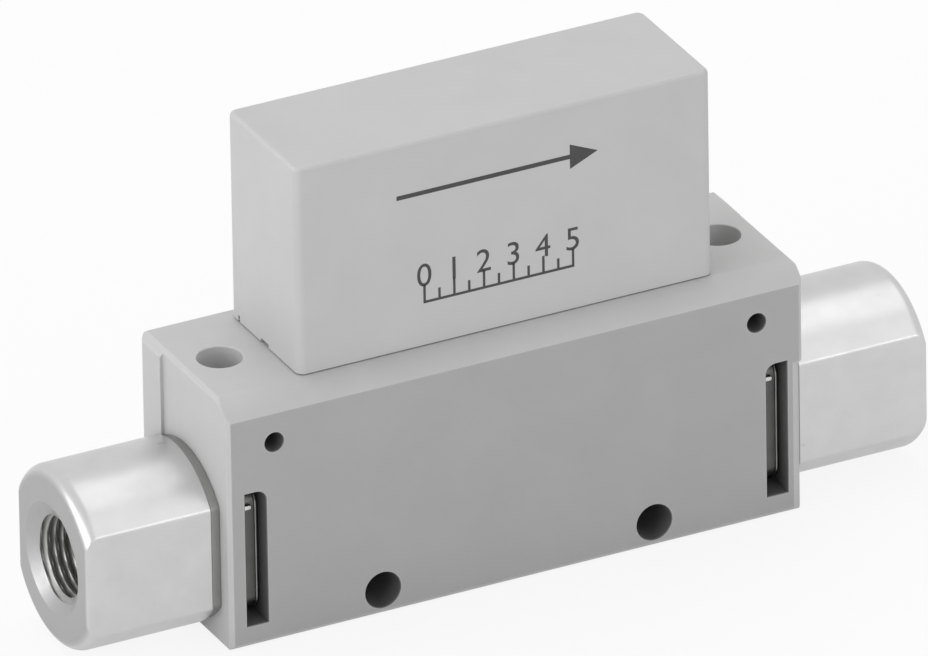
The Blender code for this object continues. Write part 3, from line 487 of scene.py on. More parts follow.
def flat_at(x):
    """The flats' distance from the axis: it falls away in a small round at the outer end."""
    past = x - (fitting_reach - flat_end_round)
    if past <= 0:
        return flat_half
    return flat_half - flat_end_round + math.sqrt(max(flat_end_round**2 - past**2, 0.0))


def bar_profile(gap):
    """The fitting's outline as (radius, distance from the body's end, distance of the flats)."""
    outer, edge = fitting_reach, fitting_edge
    side = [(r, x, flat_at(x)) for r, x in arc((fitting_radius - edge, outer - edge), edge, 90, 0, 20)]
    side += [(fitting_radius, gap + bar_break, flat_half)]
    side += [(fitting_radius - bar_break, gap, flat_half - bar_break)]
    neck = (fitting_radius - neck_inset, flat_half - neck_inset)
    side += [(neck[0], gap, neck[1]), (neck[0], neck_gap, neck[1])]
    spigot = [(spigot_radius, neck_gap)]
    grooves = ((clip_place, slot_width / 2, clip_groove_radius), (seal_place, seal_half, seal_floor))
    for middle, half, floor in grooves:
        near, far = half - middle, -half - middle
        spigot += [(spigot_radius, near), (floor, near), (floor, far), (spigot_radius, far)]
    spigot.append((spigot_radius, spigot_chamfer - spigot_length))
    spigot.append((spigot_radius - spigot_chamfer, -spigot_length))
    return side + [(r, x, 0.0) for r, x in spigot]


def grow(name, tree, values):
    """Runs a tree of geometry nodes with its named inputs set, and keeps the result as a plain mesh."""
    piece = in_scene(name, bpy.data.meshes.new(name))
    step = piece.modifiers.new(name, "NODES")
    step.node_group = tree
    for item in tree.interface.items_tree:
        if item.item_type == "SOCKET" and item.in_out == "INPUT":
            step[item.identifier] = values[item.name]
    settle(piece)
    return piece


def new_growth(name, inputs):
    """An empty tree of geometry nodes with named inputs, and the node that gives them."""
    tree = bpy.data.node_groups.new(name, "GeometryNodeTree")
    tree.interface.new_socket("Geometry", in_out="OUTPUT", socket_type="NodeSocketGeometry")
    for label, kind in inputs.items():
        tree.interface.new_socket(label, in_out="INPUT", socket_type=kind)
    return tree, add(tree, "NodeGroupInput").outputs


def end_growth(tree, shape, finish):
    """Every tree ends alike: real meshes, with their material set."""
    real = add(tree, "GeometryNodeRealizeInstances", [shape])
    dressed = add(tree, "GeometryNodeSetMaterial", {"Geometry": real, "Material": finish})
    add(tree, "NodeGroupOutput", [dressed])


def tapped_hole():
    """A tree for a tapped port: a tapered core with a helical groove, below a cone of 120 degrees."""
    sizes = ("Core Radius", "Groove Depth", "Pitch", "Taper")
    sizes += ("Mouth Radius", "Cone Slope", "Past Mouth", "Length")
    inputs = {name: "NodeSocketFloat" for name in sizes}
    inputs.update({"Columns": "NodeSocketInt", "Rows": "NodeSocketInt", "Material": "NodeSocketMaterial"})
    tree, given = new_growth("tapped_hole", inputs)
    blank = {"Vertices": given["Columns"], "Side Segments": given["Rows"], "Depth": given["Length"]}
    blank = add(tree, "GeometryNodeMeshCylinder", {**blank, "Radius": 1.0})
    spot = add(tree, "ShaderNodeSeparateXYZ", [add(tree, "GeometryNodeInputPosition")]).outputs
    half = add(tree, maths, [given["Length"], 0.5], operation="MULTIPLY")
    below = add(tree, maths, [half, spot["Z"]], operation="SUBTRACT")
    depth = add(tree, maths, [below, given["Past Mouth"]], operation="SUBTRACT")
    turn = add(tree, maths, [spot["Y"], spot["X"]], operation="ARCTAN2")
    turn = add(tree, maths, [turn, 2 * math.pi], operation="DIVIDE")
    phase = add(tree, maths, [depth, given["Pitch"]], operation="DIVIDE")
    phase = add(tree, maths, [phase, turn], operation="ADD")
    phase = add(tree, maths, [phase, 2.0], operation="MULTIPLY")
    wave = add(tree, maths, [phase, 1.0], operation="PINGPONG")
    groove = {"Value": wave, "From Min": thread_crest, "From Max": thread_root}
    groove = add(tree, "ShaderNodeMapRange", {**groove, "To Max": given["Groove Depth"]})
    left = add(tree, maths, [spot["Z"], half], operation="ADD")
    run_out = {"Value": left, "From Min": run_out_end, "From Max": run_out_start}
    groove = [groove, add(tree, "ShaderNodeMapRange", run_out)]
    groove = add(tree, maths, groove, operation="MULTIPLY")
    lean = add(tree, maths, [depth, given["Taper"]], operation="MULTIPLY")
    core = add(tree, maths, [given["Core Radius"], lean], operation="SUBTRACT")
    cut = add(tree, maths, [core, groove], operation="ADD")
    cone = add(tree, maths, [depth, given["Cone Slope"]], operation="MULTIPLY")
    cone = add(tree, maths, [given["Mouth Radius"], cone], operation="SUBTRACT")
    radius = add(tree, maths, [cut, cone], operation="MAXIMUM")
    across = add(tree, maths, [spot["X"], radius], operation="MULTIPLY")
    up = add(tree, maths, [spot["Y"], radius], operation="MULTIPLY")
    moved = add(tree, "ShaderNodeCombineXYZ", [across, up, spot["Z"]])
    shape = add(tree, "GeometryNodeSetPosition", {"Geometry": blank, "Position": moved})
    end_growth(tree, shape, given["Material"])
    return tree


def lathe_marks(tree, place):
    """Fine rings round the axis, on the round of the bar and on its faced end alike."""
    parts = add(tree, "ShaderNodeSeparateXYZ", [place]).outputs
    up = add(tree, maths, [parts["Z"], axis_height], operation="SUBTRACT")
    up = add(tree, maths, [up, up], operation="MULTIPLY")
    out = add(tree, maths, [parts["Y"], parts["Y"], up], operation="MULTIPLY_ADD")
    out = add(tree, maths, [out, 0.5], operation="POWER")
    rings = add(tree, "ShaderNodeCombineXYZ", [parts["X"], out])
    cloud = {"Vector": rings, "Scale": 1000 / ring_mm, "Detail": 3.0, "Roughness": 0.6}
    return add(tree, "ShaderNodeTexNoise", cloud)


def turned_metal(name, colour, rough):
    """Turned metal: lathe rings, straight cutter marks on the flats, an end face painted darker as painted
    shade, and a few scuffs.
    """
    finish, tree, shader, place = new_finish(name)
    normal = add(tree, "ShaderNodeNewGeometry").outputs["Normal"]
    facing = add(tree, "ShaderNodeSeparateXYZ", [normal]).outputs
    # The end faces are painted darker: painted shade.
    faced = add(tree, maths, [facing["X"]], operation="ABSOLUTE")
    faced = add(tree, "ShaderNodeMapRange", {"Value": faced, "From Min": 0.75, "From Max": 0.98})
    scuffs = {"Vector": place, "Scale": 1000 / scuff_mm, "Detail": 6.0, "Roughness": 0.75, "Distortion": 0.8}
    scuffs = add(tree, "ShaderNodeTexNoise", scuffs)
    scuffs = {"Value": scuffs, "From Min": 0.64, "From Max": 0.74, "To Max": 0.45}
    scuffs = add(tree, "ShaderNodeMapRange", scuffs)
    tint = mottled(tree, place, 3.0, colour, 0.95, 1.02)
    for share, code in ((faced, face_shade_colour), (scuffs, scuff_and_shade_colour)):
        tint = {"Factor": share, 6: tint, 7: to_linear(code)}
        tint = add(tree, "ShaderNodeMix", tint, data_type="RGBA").outputs[2]
    flat = add(tree, maths, [facing["Y"]], operation="ABSOLUTE")
    flat = add(tree, maths, [flat, 0.999], operation="GREATER_THAN")
    streak = add(tree, "ShaderNodeMapping", {"Vector": place, "Scale": (0.25, 1.0, 6.0)})
    mill = add(tree, "ShaderNodeTexNoise", {"Vector": streak, "Scale": 1000 / mill_mm, "Detail": 3.0})
    marks = {"Factor": flat, 2: lathe_marks(tree, place), 3: mill}
    marks = add(tree, "ShaderNodeMix", marks, data_type="FLOAT")
    relief = add(tree, "ShaderNodeBump", {"Height": marks, "Strength": mark_strength, "Distance": mark_depth})
    feed(shader, {"Metallic": 1.0, "Base Color": tint, "Normal": relief})
    weathered(tree, shader, place, haze_mm, rough)
    return finish


def oiled_thread():
    """The tapped thread, painted darker as painted shade, below a countersink in the darker tone of the faced
    end.
    """
    finish, tree, shader, place = new_finish("brass_thread_shaded")
    along = add(tree, "ShaderNodeSeparateXYZ", [place]).outputs["X"]
    along = add(tree, maths, [along], operation="ABSOLUTE")
    foot = body_end + fitting_reach - (port_mouth - port_core) / cone_slope
    plated = {"Value": along, "From Min": foot - plate_fade, "From Max": foot + plate_fade}
    plated = add(tree, "ShaderNodeMapRange", plated)
    tint = {"Factor": plated, 6: to_linear(thread_shade_colour), 7: to_linear(face_shade_colour)}
    tint = add(tree, "ShaderNodeMix", tint, data_type="RGBA").outputs[2]
    relief = {"Height": lathe_marks(tree, place), "Strength": mark_strength, "Distance": mark_depth}
    relief = add(tree, "ShaderNodeBump", relief)
    feed(shader, {"Metallic": 1.0, "Base Color": tint, "Normal": relief})
    weathered(tree, shader, place, thread_cloud_mm, (0.36, 0.48))
    return finish


port_tree = tapped_hole()
nickel = turned_metal("nickel_plate_turned", nickel_colour, (0.28, 0.37))
# The neck's finish is darker: painted shade in the gap by the body.
neck_shade = turned_metal("brass_neck_shaded", scuff_and_shade_colour, (0.38, 0.44))
thread_shade = oiled_thread()


def port_fitting(side, end):
    gap = inlet_gap if side < 0 else outlet_gap
    sections = [bar_section(r, side * (body_end + x), flat) for r, x, flat in bar_profile(gap)]
    bar = loft(end + "_port_fitting", sections)
    painted(nickel, bar)
    # The neck and the spigot, in the gap by the body, take the darker finish: painted shade.
    bar.data.materials.append(neck_shade)
    for face in bar.data.polygons:
        face.material_index = int(abs(face.center.x) < body_end + gap - hair)
    length = port_depth + reach_past
    values = {"Core Radius": port_core, "Groove Depth": thread_depth, "Pitch": thread_pitch}
    values.update({"Taper": port_taper, "Mouth Radius": port_mouth, "Cone Slope": cone_slope})
    values.update({"Past Mouth": reach_past, "Length": length})
    values.update({"Columns": port_columns, "Rows": port_rows, "Material": thread_shade})
    plug = grow(end + "_port", port_tree, values)
    middle = side * (body_end + fitting_reach + reach_past - length / 2)
    turn = Matrix.Rotation(side * math.pi / 2, 4, "Y")
    plug.data.transform(Matrix.Translation((middle, 0, axis_height)) @ turn)
    ends = (body_end - spigot_length - reach_past, body_end + fitting_reach - bore_inset)
    low, high = sorted(side * distance for distance in ends)
    profile = [(0, low), (bore_radius, low), (bore_radius, high), (0, high)]
    bore = turned(end + "_bore", profile, (0, 0, axis_height), "yzx")
    # The thread and the bore take the darker thread finish: painted shade.
    combine(bar, "DIFFERENCE", plug, *painted(thread_shade, bore))
    shade(bar, 24)
    return bar


for side, end in ((-1, "inlet"), (1, "outlet")):
    fitting = port_fitting(side, end)
    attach(fitting, "root")
    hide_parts(end + "_fitting")

# Retaining clips: flat strip of phosphated spring steel with one edge turned up, bent to a U and pushed in.
# The legs straddle the spigot in its groove, and a small lip at the bend, painted bright as a glint, lets a
# tool pull it out.
strip, strip_width, strip_corner = 0.0008, 0.0018, 0.00012
strip_bead, bead_foot, bead_margin, web_margin = 0.00017, 0.0002, 0.00002, 0.00001
clip_recess, clip_bend, clip_leg = 0.0017, 0.0016, 0.0130
lip_width, lip_height, lip_reach, lip_corner = 0.0010, 0.0005, 0.0010, 0.00015
# The paler tones paint a highlight on the turned-up edge and a glint on the lip.
steel_colour, bead_glint_colour, glint_colour, roll_mm = "#6c6c6b", "#9a9a98", "#e0e0de", 0.833


def clip_path():
    """The strip's middle line as (y, height above the flow axis), from one tip round to the other."""
    height = clip_groove_radius + fit + strip / 2
    web = body_front + clip_recess + strip / 2
    upper = arc((web + clip_bend, height - clip_bend), clip_bend, 180, 90, 10)
    upper.append((web + clip_leg - strip, height))
    return [(y, -z) for y, z in reversed(upper)] + upper


def strip_outline():
    """The strip's section: rounded, with a bead along its right edge, on the side away from the spigot."""
    outline = rounded(strip_width, strip, (strip_corner,) * 4, 3)
    edge, front = strip_width / 2, -strip / 2
    bead = arc((edge - strip_bead, front), strip_bead, 180, 360, 8)
    return outline[:4] + bead + [(edge, front + bead_foot)] + outline[8:]


def directions(path):
    """Each point of a flat path, with the direction that the path takes there."""
    found = []
    for i, point in enumerate(path):
        before, after = path[max(i - 1, 0)], path[min(i + 1, len(path) - 1)]
        found.append((*point, Vector((after[0] - before[0], after[1] - before[1])).normalized()))
    return found


def retaining_clip(side, end):
    path, outline = clip_path(), strip_outline()
    middle = side * slot_place
    sections = []
    for y, z, along in directions(path):
        sections.append([(middle + a, y + b * along[1], axis_height + z - b * along[0]) for a, b in outline])
    clip = loft(end + "_retaining_clip", sections)
    web, top = path[len(path) // 2]
    edge, foot = middle - strip_width / 2, axis_height + top
    lip = block("lip", (edge, edge + lip_width), (web - lip_reach, web), (foot, foot + lip_height))
    soften(lip, lip_corner, 3)
    painted(steel, clip)
    # The bead along the turned-up edge is painted paler: a painted highlight.
    clip.data.materials.append(bead_glint)
    inner = strip_width / 2 - 2 * strip_bead - bead_margin
    for face in clip.data.polygons:
        x, y, z = face.center
        face.material_index = int(x - middle > inner and y < web - strip / 2 - web_margin)
    # The lip is painted near white: a painted glint.
    combine(clip, "UNION", *painted(glint_steel, lip))
    shade(clip, 25)
    return clip


def rolled_strip(name, colour, rough):
    """Cold-rolled strip: satin, with long streaks along the rolling direction."""
    finish, tree, shader, place = new_finish(name)
    feed(shader, {"Metallic": 1.0, "Base Color": mottled(tree, place, 2.0, colour, 0.88, 1.08)})
    streak = add(tree, "ShaderNodeMapping", {"Vector": place, "Scale": (8.0, 0.5, 0.5)})
    weathered(tree, shader, streak, roll_mm, rough, strength=0.25, relief_mm=0.02)
    return finish


steel = rolled_strip("spring_steel_phosphated", steel_colour, (0.34, 0.46))
bead_glint = rolled_strip("spring_steel_bead_glint", bead_glint_colour, (0.26, 0.36))
glint_steel = rolled_strip("spring_steel_glint", glint_colour, (0.22, 0.32))
for side, end in ((-1, "inlet"), (1, "outlet")):
    clip = retaining_clip(side, end)
    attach(clip, "root")
    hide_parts(end + "_clip")

# Electronics case: a thin-walled resin box, snapped over the body's plinth, with all its edges rounded.
# Shallow notches at the foot of both ends take the blade that lifts it, with a fine slit by the left one.
# The header fills its right end.
case_corner, case_edge = 0.0009, 0.0005
notch_half, notch_height, notch_depth = 0.0009, 0.0004, 0.0006
slit_place, slit_half, slit_height = 0.0065, 0.0002, 0.0007
board_front, board_back, guide_width, guide_reach, guide_foot = 0.0020, 0.0032, 0.0010, 0.0015, 0.0317
header_y, header_z, header_mouth, header_rear = (-0.0039, 0.0017), (0.0330, 0.0472), 0.02375, 0.01335
case_colour, case_wear_highlight, case_grain_mm, case_rub_mm = "#c6c6c6", "#d0d0d0", 0.16, 2.86


def case_shell():
    width, depth = 2 * case_end, case_back - case_front
    outline = [(x + case_shift, y + case_middle) for x, y in rounded(width, depth, (case_corner,) * 4, 8)]
    case = prism("case_shell", outline, case_base - 2 * case_edge, case_top)
    soften(case, case_edge, 4, 60)
    around = (-body_end, body_end)
    combine(case, "DIFFERENCE", block("below", around, around, (0, case_base)))
    x = (case_x(-1, case_wall), case_x(1, case_wall))
    y = (case_front + case_wall, case_back - case_wall)
    combine(case, "DIFFERENCE", block("inside", x, y, (case_base - reach_past, case_top - case_wall)))
    for side in (-1, 1):
        wall = case_x(side, case_wall)
        x = sorted((wall + side * reach_past / 2, wall - side * guide_reach))
        z = (guide_foot, case_top - case_wall / 2)
        front = block("front_guide", x, (board_front - fit - guide_width, board_front - fit), z)
        back = block("back_guide", x, (board_back + fit, board_back + fit + guide_width), z)
        x = sorted((wall + side * reach_past / 2, wall - side * snap_reach))
        snap = block("snap", x, (case_middle - snap_half, case_middle + snap_half), (snap_low, snap_high))
        combine(case, "UNION", front, back, snap)
        x = sorted((case_x(side, -reach_past), case_x(side, notch_depth)))
        y = (case_middle - notch_half, case_middle + notch_half)
        combine(case, "DIFFERENCE", block("notch", x, y, (case_base - reach_past, case_base + notch_height)))
    x = (case_x(-1, -reach_past), case_x(-1, notch_depth))
    y = (slit_place - slit_half, slit_place + slit_half)
    combine(case, "DIFFERENCE", block("slit", x, y, (case_base - reach_past, case_base + slit_height)))
    x = (case_x(1, case_wall + guide_reach + reach_past), case_x(1, -reach_past))
    y, z = (header_y[0] - fit, header_y[1] + fit), (header_z[0] - fit, header_z[1] + fit)
    combine(case, "DIFFERENCE", block("window", x, y, z))
    shade(case)
    return case


def plain_pbt():
    """Unfilled PBT, moulded: a finer grain than the body's and a slightly softer shine."""
    finish, tree, shader, place = new_finish("pbt_moulded_fine_grain")
    colour = mottled(tree, place, 8.0, case_colour, 0.975, 1.025)
    # Paler edges: rub wear and a painted highlight.
    colour = worn_edges(tree, colour, case_wear_highlight)
    grain = resin_grain(tree, place, case_grain_mm, 0.012)
    feed(shader, {"Base Color": colour, "Normal": grain, "IOR": pbt_ior})
    weathered(tree, shader, place, case_rub_mm, (0.44, 0.54), 4.0)
    return finish


case = case_shell()
painted(plain_pbt(), case)
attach(case, "root")
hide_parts("electronics_case")

# Marks on the case's front: pad-printed in dark grey ink, a hundredth of a millimetre or two thick.
# A plain arrow shows which way the air flows, over a plain scale of ticks numbered from 0 to 5.
ink_colour, ink, ink_film_mm = "#3f3f3f", 0.00002, 0.25
mark_middle, arrow_height, arrow_half, arrow_line = -0.0005, 0.0457, 0.0115, 0.0005
arrow_head, arrow_head_half = 0.0032, 0.0014
scale_height, scale_pitch, scale_line, tick_width = 0.0333, 0.0034, 0.0003, 0.00028
long_tick, short_tick, digit_size, digit_height, digits = 0.0018, 0.0011, 0.0037, 0.0361, 6


def printing_ink():
    """Two-part ink off a silicone pad: satin, a little uneven in tone, and thinner here and there."""
    finish, tree, shader, place = new_finish("ink_pad_printed")
    feed(shader, {"Base Color": mottled(tree, place, 0.5, ink_colour, 0.85, 1.35, 0.7)})
    weathered(tree, shader, place, ink_film_mm, (0.40, 0.55), 2.0)
    return finish


def tick_row():
    """A tree for one row of equal upright ticks on a base line."""
    inputs = {name: "NodeSocketFloat" for name in ("Pitch", "Width", "Height", "Thickness")}
    inputs.update({"Count": "NodeSocketInt", "Material": "NodeSocketMaterial"})
    tree, given = new_growth("tick_row", inputs)
    step = add(tree, "ShaderNodeCombineXYZ", [given["Pitch"]])
    row = add(tree, "GeometryNodeMeshLine", {"Count": given["Count"], "Offset": step}, mode="OFFSET")
    size = [given["Width"], given["Thickness"], given["Height"]]
    tick = add(tree, "GeometryNodeMeshCube", {"Size": add(tree, "ShaderNodeCombineXYZ", size)})
    lift = add(tree, maths, [given["Height"], 0.5], operation="MULTIPLY")
    lift = add(tree, "ShaderNodeCombineXYZ", {2: lift})
    tick = add(tree, "GeometryNodeTransform", {"Geometry": tick, "Translation": lift})
    row = add(tree, "GeometryNodeInstanceOnPoints", {"Points": row, "Instance": tick})
    end_growth(tree, row, given["Material"])
    return tree


def numeral(digit, x):
    """A digit as a thin mesh, upright on the case's front."""
    name = f"numeral_{digit}"
    words = bpy.data.curves.new(name, "FONT")
    words.body = str(digit)
    words.size = digit_size
    words.align_x, words.align_y = "CENTER", "CENTER"
    words.extrude = ink / 2
    text = in_scene(name, words)
    mesh = bpy.data.meshes.new_from_object(text.evaluated_get(bpy.context.evaluated_depsgraph_get()))
    bpy.data.objects.remove(text, do_unlink=True)
    mesh.transform(Matrix.Translation((x, case_front, digit_height)) @ Matrix.Rotation(math.pi / 2, 4, "X"))
    return in_scene(name, mesh)


def flow_arrow():
    tip, tail = mark_middle + arrow_half, mark_middle - arrow_half
    neck, half = tip - arrow_head, arrow_line / 2
    outline = [(tail, -half), (neck, -half), (neck, -arrow_head_half), (tip, 0), (neck, arrow_head_half)]
    outline += [(neck, half), (tail, half)]
    outline = [(x, arrow_height + z) for x, z in outline]
    return prism("flow_arrow", outline, case_front - ink / 2, case_front + ink / 2, "xzy")


def printed_scale(finish):
    tree, half = tick_row(), scale_pitch * (digits - 1) / 2
    values = {"Pitch": scale_pitch, "Width": tick_width, "Thickness": ink, "Material": finish}
    rows = ((digits, long_tick, -half), (digits - 1, short_tick, -half + scale_pitch / 2))
    pieces = []
    for count, height, first in rows:
        row = grow("ticks", tree, {**values, "Count": count, "Height": height})
        row.data.transform(Matrix.Translation((mark_middle + first, case_front, scale_height)))
        pieces.append(row)
    x = (mark_middle - half - tick_width / 2, mark_middle + half + tick_width / 2)
    y = (case_front - ink / 2, case_front + ink / 2)
    pieces.append(block("scale_line", x, y, (scale_height - scale_line, scale_height)))
    pieces += [numeral(i, mark_middle - half + i * scale_pitch) for i in range(digits)]
    return pieces


def gathered(name, pieces):
    """One object from several, with their meshes side by side."""
    shape = bmesh.new()
    for piece in pieces:
        shape.from_mesh(piece.data)
        bpy.data.objects.remove(piece, do_unlink=True)
    return meshed(name, shape)


printed = printing_ink()
marks = gathered("printed_marks", [flow_arrow(), *printed_scale(printed)])
painted(printed, marks)
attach(marks, "root")

# Connector header: a natural nylon housing lying on the board, open to the right, with five tinned pins.
# The pins are square wire with pointed tips, pressed through the housing's floor and bent into the board.
header_wall, header_floor, header_corner = 0.0006, 0.0022, 0.00015
header_middle = (sum(header_y) / 2, sum(header_z) / 2)
pin_count, pin_pitch, pin_hole, pin_reach, pin_tail, pin_through = 5, 0.0025, 0.00038, 0.0034, 0.0012, 0.0007
pin_half, pin_point, pin_tip, pin_bend = 0.00025, 0.0006, 0.0001, 0.0006
nylon_colour, nylon_ior, nylon_rub_mm, tin_colour = "#e4e0d4", 1.53, 1.11, "#cfcdc6"


def pin_level(i):
    return header_middle[1] + (i - (pin_count - 1) / 2) * pin_pitch


def header_pin(i):
    """Square wire from its pointed tip in the socket, round a right angle, to the tail in the board."""
    tip, bend, tail = header_rear + header_floor + pin_reach, header_rear - pin_tail, board_back + pin_through
    path = [(tip, header_middle[0]), (tip - pin_point, header_middle[0])]
    path += arc((bend + pin_bend, header_middle[0] + pin_bend), pin_bend, 270, 180, 6)
    path += [(bend, tail - pin_point), (bend, tail)]
    sections = []
    for j, (x, y, along) in enumerate(directions(path)):
        half = pin_tip if j in (0, len(path) - 1) else pin_half
        corners = ((-half, -half), (half, -half), (half, half), (-half, half))
        sections.append([(x - a * along[1], y + a * along[0], pin_level(i) + b) for a, b in corners])
    pin = loft(f"header_pin_{i + 1}", sections)
    shade(pin, 20)
    return pin


def header_housing():
    housing = block("header_housing", (header_rear, header_mouth), header_y, header_z)
    soften(housing, header_corner, 2, 60)
    floor = header_rear + header_floor
    y = (header_y[0] + header_wall, header_y[1] - header_wall)
    z = (header_z[0] + header_wall, header_z[1] - header_wall)
    combine(housing, "DIFFERENCE", block("cavity", (floor, header_mouth + reach_past), y, z))
    low, high = header_rear - reach_past, floor + reach_past
    profile = [(0, low), (pin_hole, low), (pin_hole, high), (0, high)]
    for i in range(pin_count):
        centre = (0, header_middle[0], pin_level(i))
        combine(housing, "DIFFERENCE", turned("pin_hole", profile, centre, "yzx", 16))
    shade(housing, 28)
    return housing


def nylon():
    """Natural nylon, moulded: ivory, slightly waxy, with light passing a little way in."""
    finish, tree, shader, place = new_finish("nylon_natural_moulded")
    look = {"Base Color": mottled(tree, place, 4.0, nylon_colour, 0.96, 1.0), "IOR": nylon_ior}
    look.update({"Subsurface Weight": 0.15, "Subsurface Radius": (0.0008, 0.0007, 0.0005)})
    feed(shader, {**look, "Subsurface Scale": 1.0})
    weathered(tree, shader, place, nylon_rub_mm, (0.34, 0.44))
    return finish


def plain_finish(name, code, low, high, size_mm, rough, metallic=0.0, ior=1.5, relief_mm=0.0):
    """Two near tones in clouds of that size, and a third as wide, an uneven roughness and a little relief."""
    finish, tree, shader, place = new_finish(name)
    feed(shader, {"Base Color": mottled(tree, place, size_mm, code, low, high), "Metallic": metallic})
    if not metallic:
        feed(shader, {"IOR": ior})
    weathered(tree, shader, place, size_mm / 3, (rough * 0.85, rough * 1.15), 4.0, 0.3, relief_mm)
    return finish


header = header_housing()
painted(nylon(), header)
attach(header, "root")
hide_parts("connector_header")
tin = plain_finish("tin_plated_wire", tin_colour, 0.92, 1.0, 0.5, 0.25, 1.0, relief_mm=0.003)
for i in range(pin_count):
    pin = header_pin(i)
    painted(tin, pin)
    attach(pin, "root")
    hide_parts(f"connector_pin_{i + 1}")

# Pieces shut inside the body and the case, or seen only down the bore and the socket.
# Each keeps its CAD shape and gets the finish of its own material.
rubber_colour, screen_colour, spacer_colour, ceramic_colour = "#232323", "#a9a9a6", "#dedbd0", "#ecebe4"
silicon_colour, laminate_colour, package_colour, can_colour = "#3a3d48", "#2f6b45", "#262626", "#c4c4c2"


def dress(finish, *nodes):
    for node in nodes:
        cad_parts[node].material_slots[0].material = finish


rubber = plain_finish("nitrile_rubber_moulded", rubber_colour, 0.8, 1.2, 0.6, 0.6, relief_mm=0.01)
dress(rubber, "inlet_o_ring", "outlet_o_ring", "sensor_gasket")
etched = plain_finish("stainless_sheet_etched", screen_colour, 0.9, 1.1, 0.5, 0.35, 1.0, relief_mm=0.01)
dress(etched, "inlet_screen_outer", "inlet_screen_inner", "outlet_screen")
acetal = plain_finish("acetal_natural_moulded", spacer_colour, 0.95, 1.0, 2.0, 0.42, relief_mm=0.005)
dress(acetal, "inlet_spacer_outer", "inlet_spacer_inner", "outlet_spacer", "sensor_clamp")
alumina = plain_finish("alumina_fired", ceramic_colour, 0.96, 1.0, 0.4, 0.5, ior=1.76, relief_mm=0.004)
dress(alumina, "sensor_carrier")
silicon = plain_finish("silicon_polished", silicon_colour, 0.8, 1.2, 0.3, 0.12, ior=3.4)
dress(silicon, "sensor_chip")
zinc_steel = plain_finish("zinc_plated_steel", can_colour, 0.85, 1.0, 0.5, 0.3, 1.0, relief_mm=0.004)
dress(zinc_steel, "clamp_screw_left", "clamp_screw_right")
dress(tin, *[f"sensor_pin_{i}" for i in range(1, 5)])
laminate = plain_finish("glass_epoxy_solder_mask", laminate_colour, 0.85, 1.1, 0.8, 0.35, relief_mm=0.01)
dress(laminate, "main_board")
package = plain_finish("epoxy_moulded_black", package_colour, 0.8, 1.2, 0.3, 0.55, relief_mm=0.008)
dress(package, "microcontroller", "amplifier_chip", "regulator_chip")
can = plain_finish("aluminium_drawn", can_colour, 0.9, 1.0, 0.6, 0.28, 1.0, relief_mm=0.004)
dress(can, "crystal", "buffer_capacitor")

# Stage: a pale floor and plain soft light from both sides and above, and the camera at the photo's angle.
# The floor and the world look white to the camera and in reflections, and light the object no more for it.
camera_place, camera_aim = (-1.10705, -2.23589, 1.32037), (0.394770, 0.794750, -0.461010)
camera_right, camera_up = (0.892177, -0.451459, -0.014291), (0.219486, 0.405663, 0.887279)
focal_pixels, centre_x, centre_y = 27420.0, 504.1, 331.1
frame_width, frame_height, sensor_mm = 928, 656, 36.0
floor_colour, floor_size, floor_drop, floor_depth = "#f3f3f3", 40.0, 0.0001, 0.01
world_colour, world_strength, mirrored_strength, seen_strength = "#ffffff", 0.45, 0.83, 1.0
floor_veil, mirrored_veil, mirrored_floor = 0.86, 0.6, 0.85
lamp_aim = Vector((0, 0, 0.02))


def photo_camera():
    """Turns the solved camera a little, so that its middle is the picture's middle and it needs no shift."""
    aim, right, up = Vector(camera_aim), Vector(camera_right), Vector(camera_up)
    aim = focal_pixels * aim + (frame_width / 2 - centre_x) * right + (centre_y - frame_height / 2) * up
    aim.normalize()
    right = aim.cross(up).normalized()
    up = right.cross(aim)
    camera = in_scene("camera", bpy.data.cameras.new("camera"))
    camera.data.sensor_width = sensor_mm
    camera.data.lens = focal_pixels / frame_width * sensor_mm
    turn = Matrix((right, up, -aim)).transposed().to_4x4()
    camera.matrix_world = Matrix.Translation(camera_place) @ turn
    bpy.context.scene.camera = camera


def soft_light(name, place, width, height, power, mirrored=True):
    """A softbox that faces the object, its power in watts; bright metal may be kept from mirroring it."""
    lamp = bpy.data.lights.new(name, "AREA")
    lamp.shape = "RECTANGLE"
    lamp.size, lamp.size_y = width, height
    lamp.energy = power
    light = in_scene(name, lamp)
    light.visible_glossy = mirrored
    light.location = place
    light.rotation_euler = (lamp_aim - Vector(place)).to_track_quat("-Z", "Y").to_euler()


def light_paths(tree):
    """Whether a ray comes straight from the camera, and whether it mirrors off or passes through things."""
    path = add(tree, "ShaderNodeLightPath").outputs
    bounced = [path["Is Glossy Ray"], path["Is Transmission Ray"]]
    return path["Is Camera Ray"], add(tree, maths, bounced, operation="MAXIMUM")


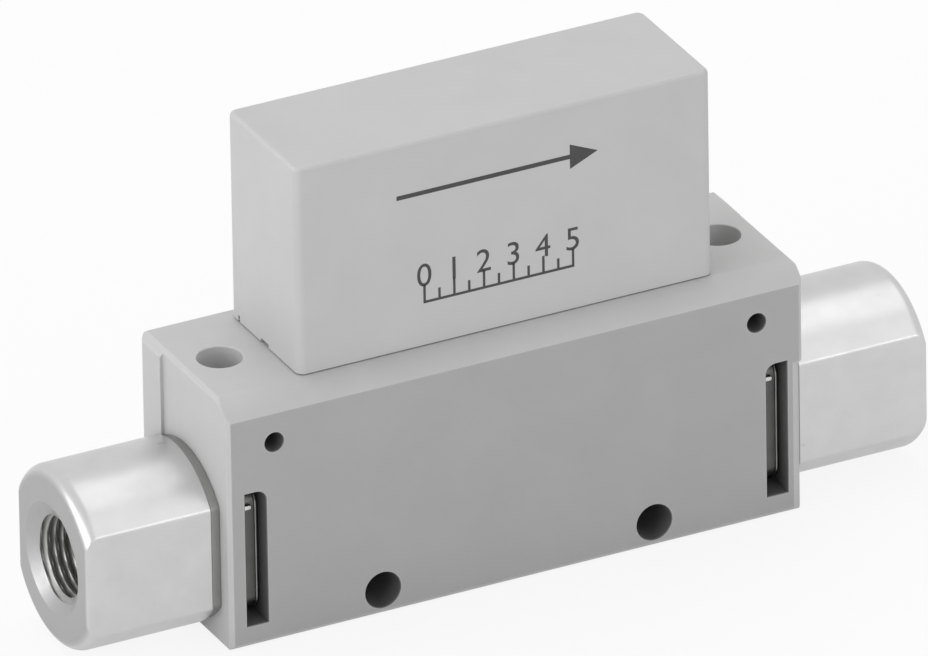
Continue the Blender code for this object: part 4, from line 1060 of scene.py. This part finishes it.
def white_world():
    """White behind the object, a little less so in its reflections, and softer still as its light."""
    world = bpy.data.worlds.new("studio")
    world.use_nodes = True
    tree = world.node_tree
    tree.nodes.clear()
    looked, mirrored = light_paths(tree)
    strength = add(tree, "ShaderNodeMix", {"Factor": mirrored, 2: world_strength, 3: mirrored_strength})
    strength = add(tree, "ShaderNodeMix", {"Factor": looked, 2: strength, 3: seen_strength})
    sky = add(tree, "ShaderNodeBackground", {"Color": to_linear(world_colour), "Strength": strength})
    add(tree, "ShaderNodeOutputWorld", {"Surface": sky})
    bpy.context.scene.world = world


def white_floor():
    """Pale paper behind a white veil, for the camera and in reflections, so that its shadows stay faint."""
    half = floor_size / 2
    floor = block("floor", (-half, half), (-half, half), (-floor_depth, -floor_drop))
    finish, tree, shader, place = new_finish("paper_backdrop")
    feed(shader, {"Base Color": mottled(tree, place, 400.0, floor_colour, 0.99, 1.0), "Roughness": 0.8})
    looked, mirrored = light_paths(tree)
    veil = add(tree, maths, [looked, floor_veil], operation="MULTIPLY")
    veil = add(tree, maths, [mirrored, mirrored_veil, veil], operation="MULTIPLY_ADD")
    white = add(tree, "ShaderNodeMix", {"Factor": looked, 2: mirrored_floor, 3: seen_strength})
    glow = add(tree, "ShaderNodeEmission", {"Color": to_linear(world_colour), "Strength": white})
    both = add(tree, "ShaderNodeMixShader", [veil, shader, glow])
    feed(tree.get_output_node("ALL"), {"Surface": both})
    painted(finish, floor)


white_world()
white_floor()
soft_light("key_left", (-1.19, -0.125, 0.395), 1.6, 0.7, 6.6)
soft_light("top_back", (-0.13, 0.585, 1.17), 1.0, 1.0, 6.2, mirrored=False)
soft_light("fill_front", (0.45, -1.36, 0.47), 0.8, 0.8, 1.6, mirrored=False)
soft_light("low_strip", (0.62, -1.40, 0.34), 1.2, 0.25, 1.3)
soft_light("soft_front", (0.58, -1.07, 1.06), 1.3, 1.3, 1.6)
soft_light("soft_top", (0.47, 0.13, 1.11), 0.8, 0.8, 1.15)
photo_camera()
bpy.context.scene.view_settings.view_transform = "Standard"
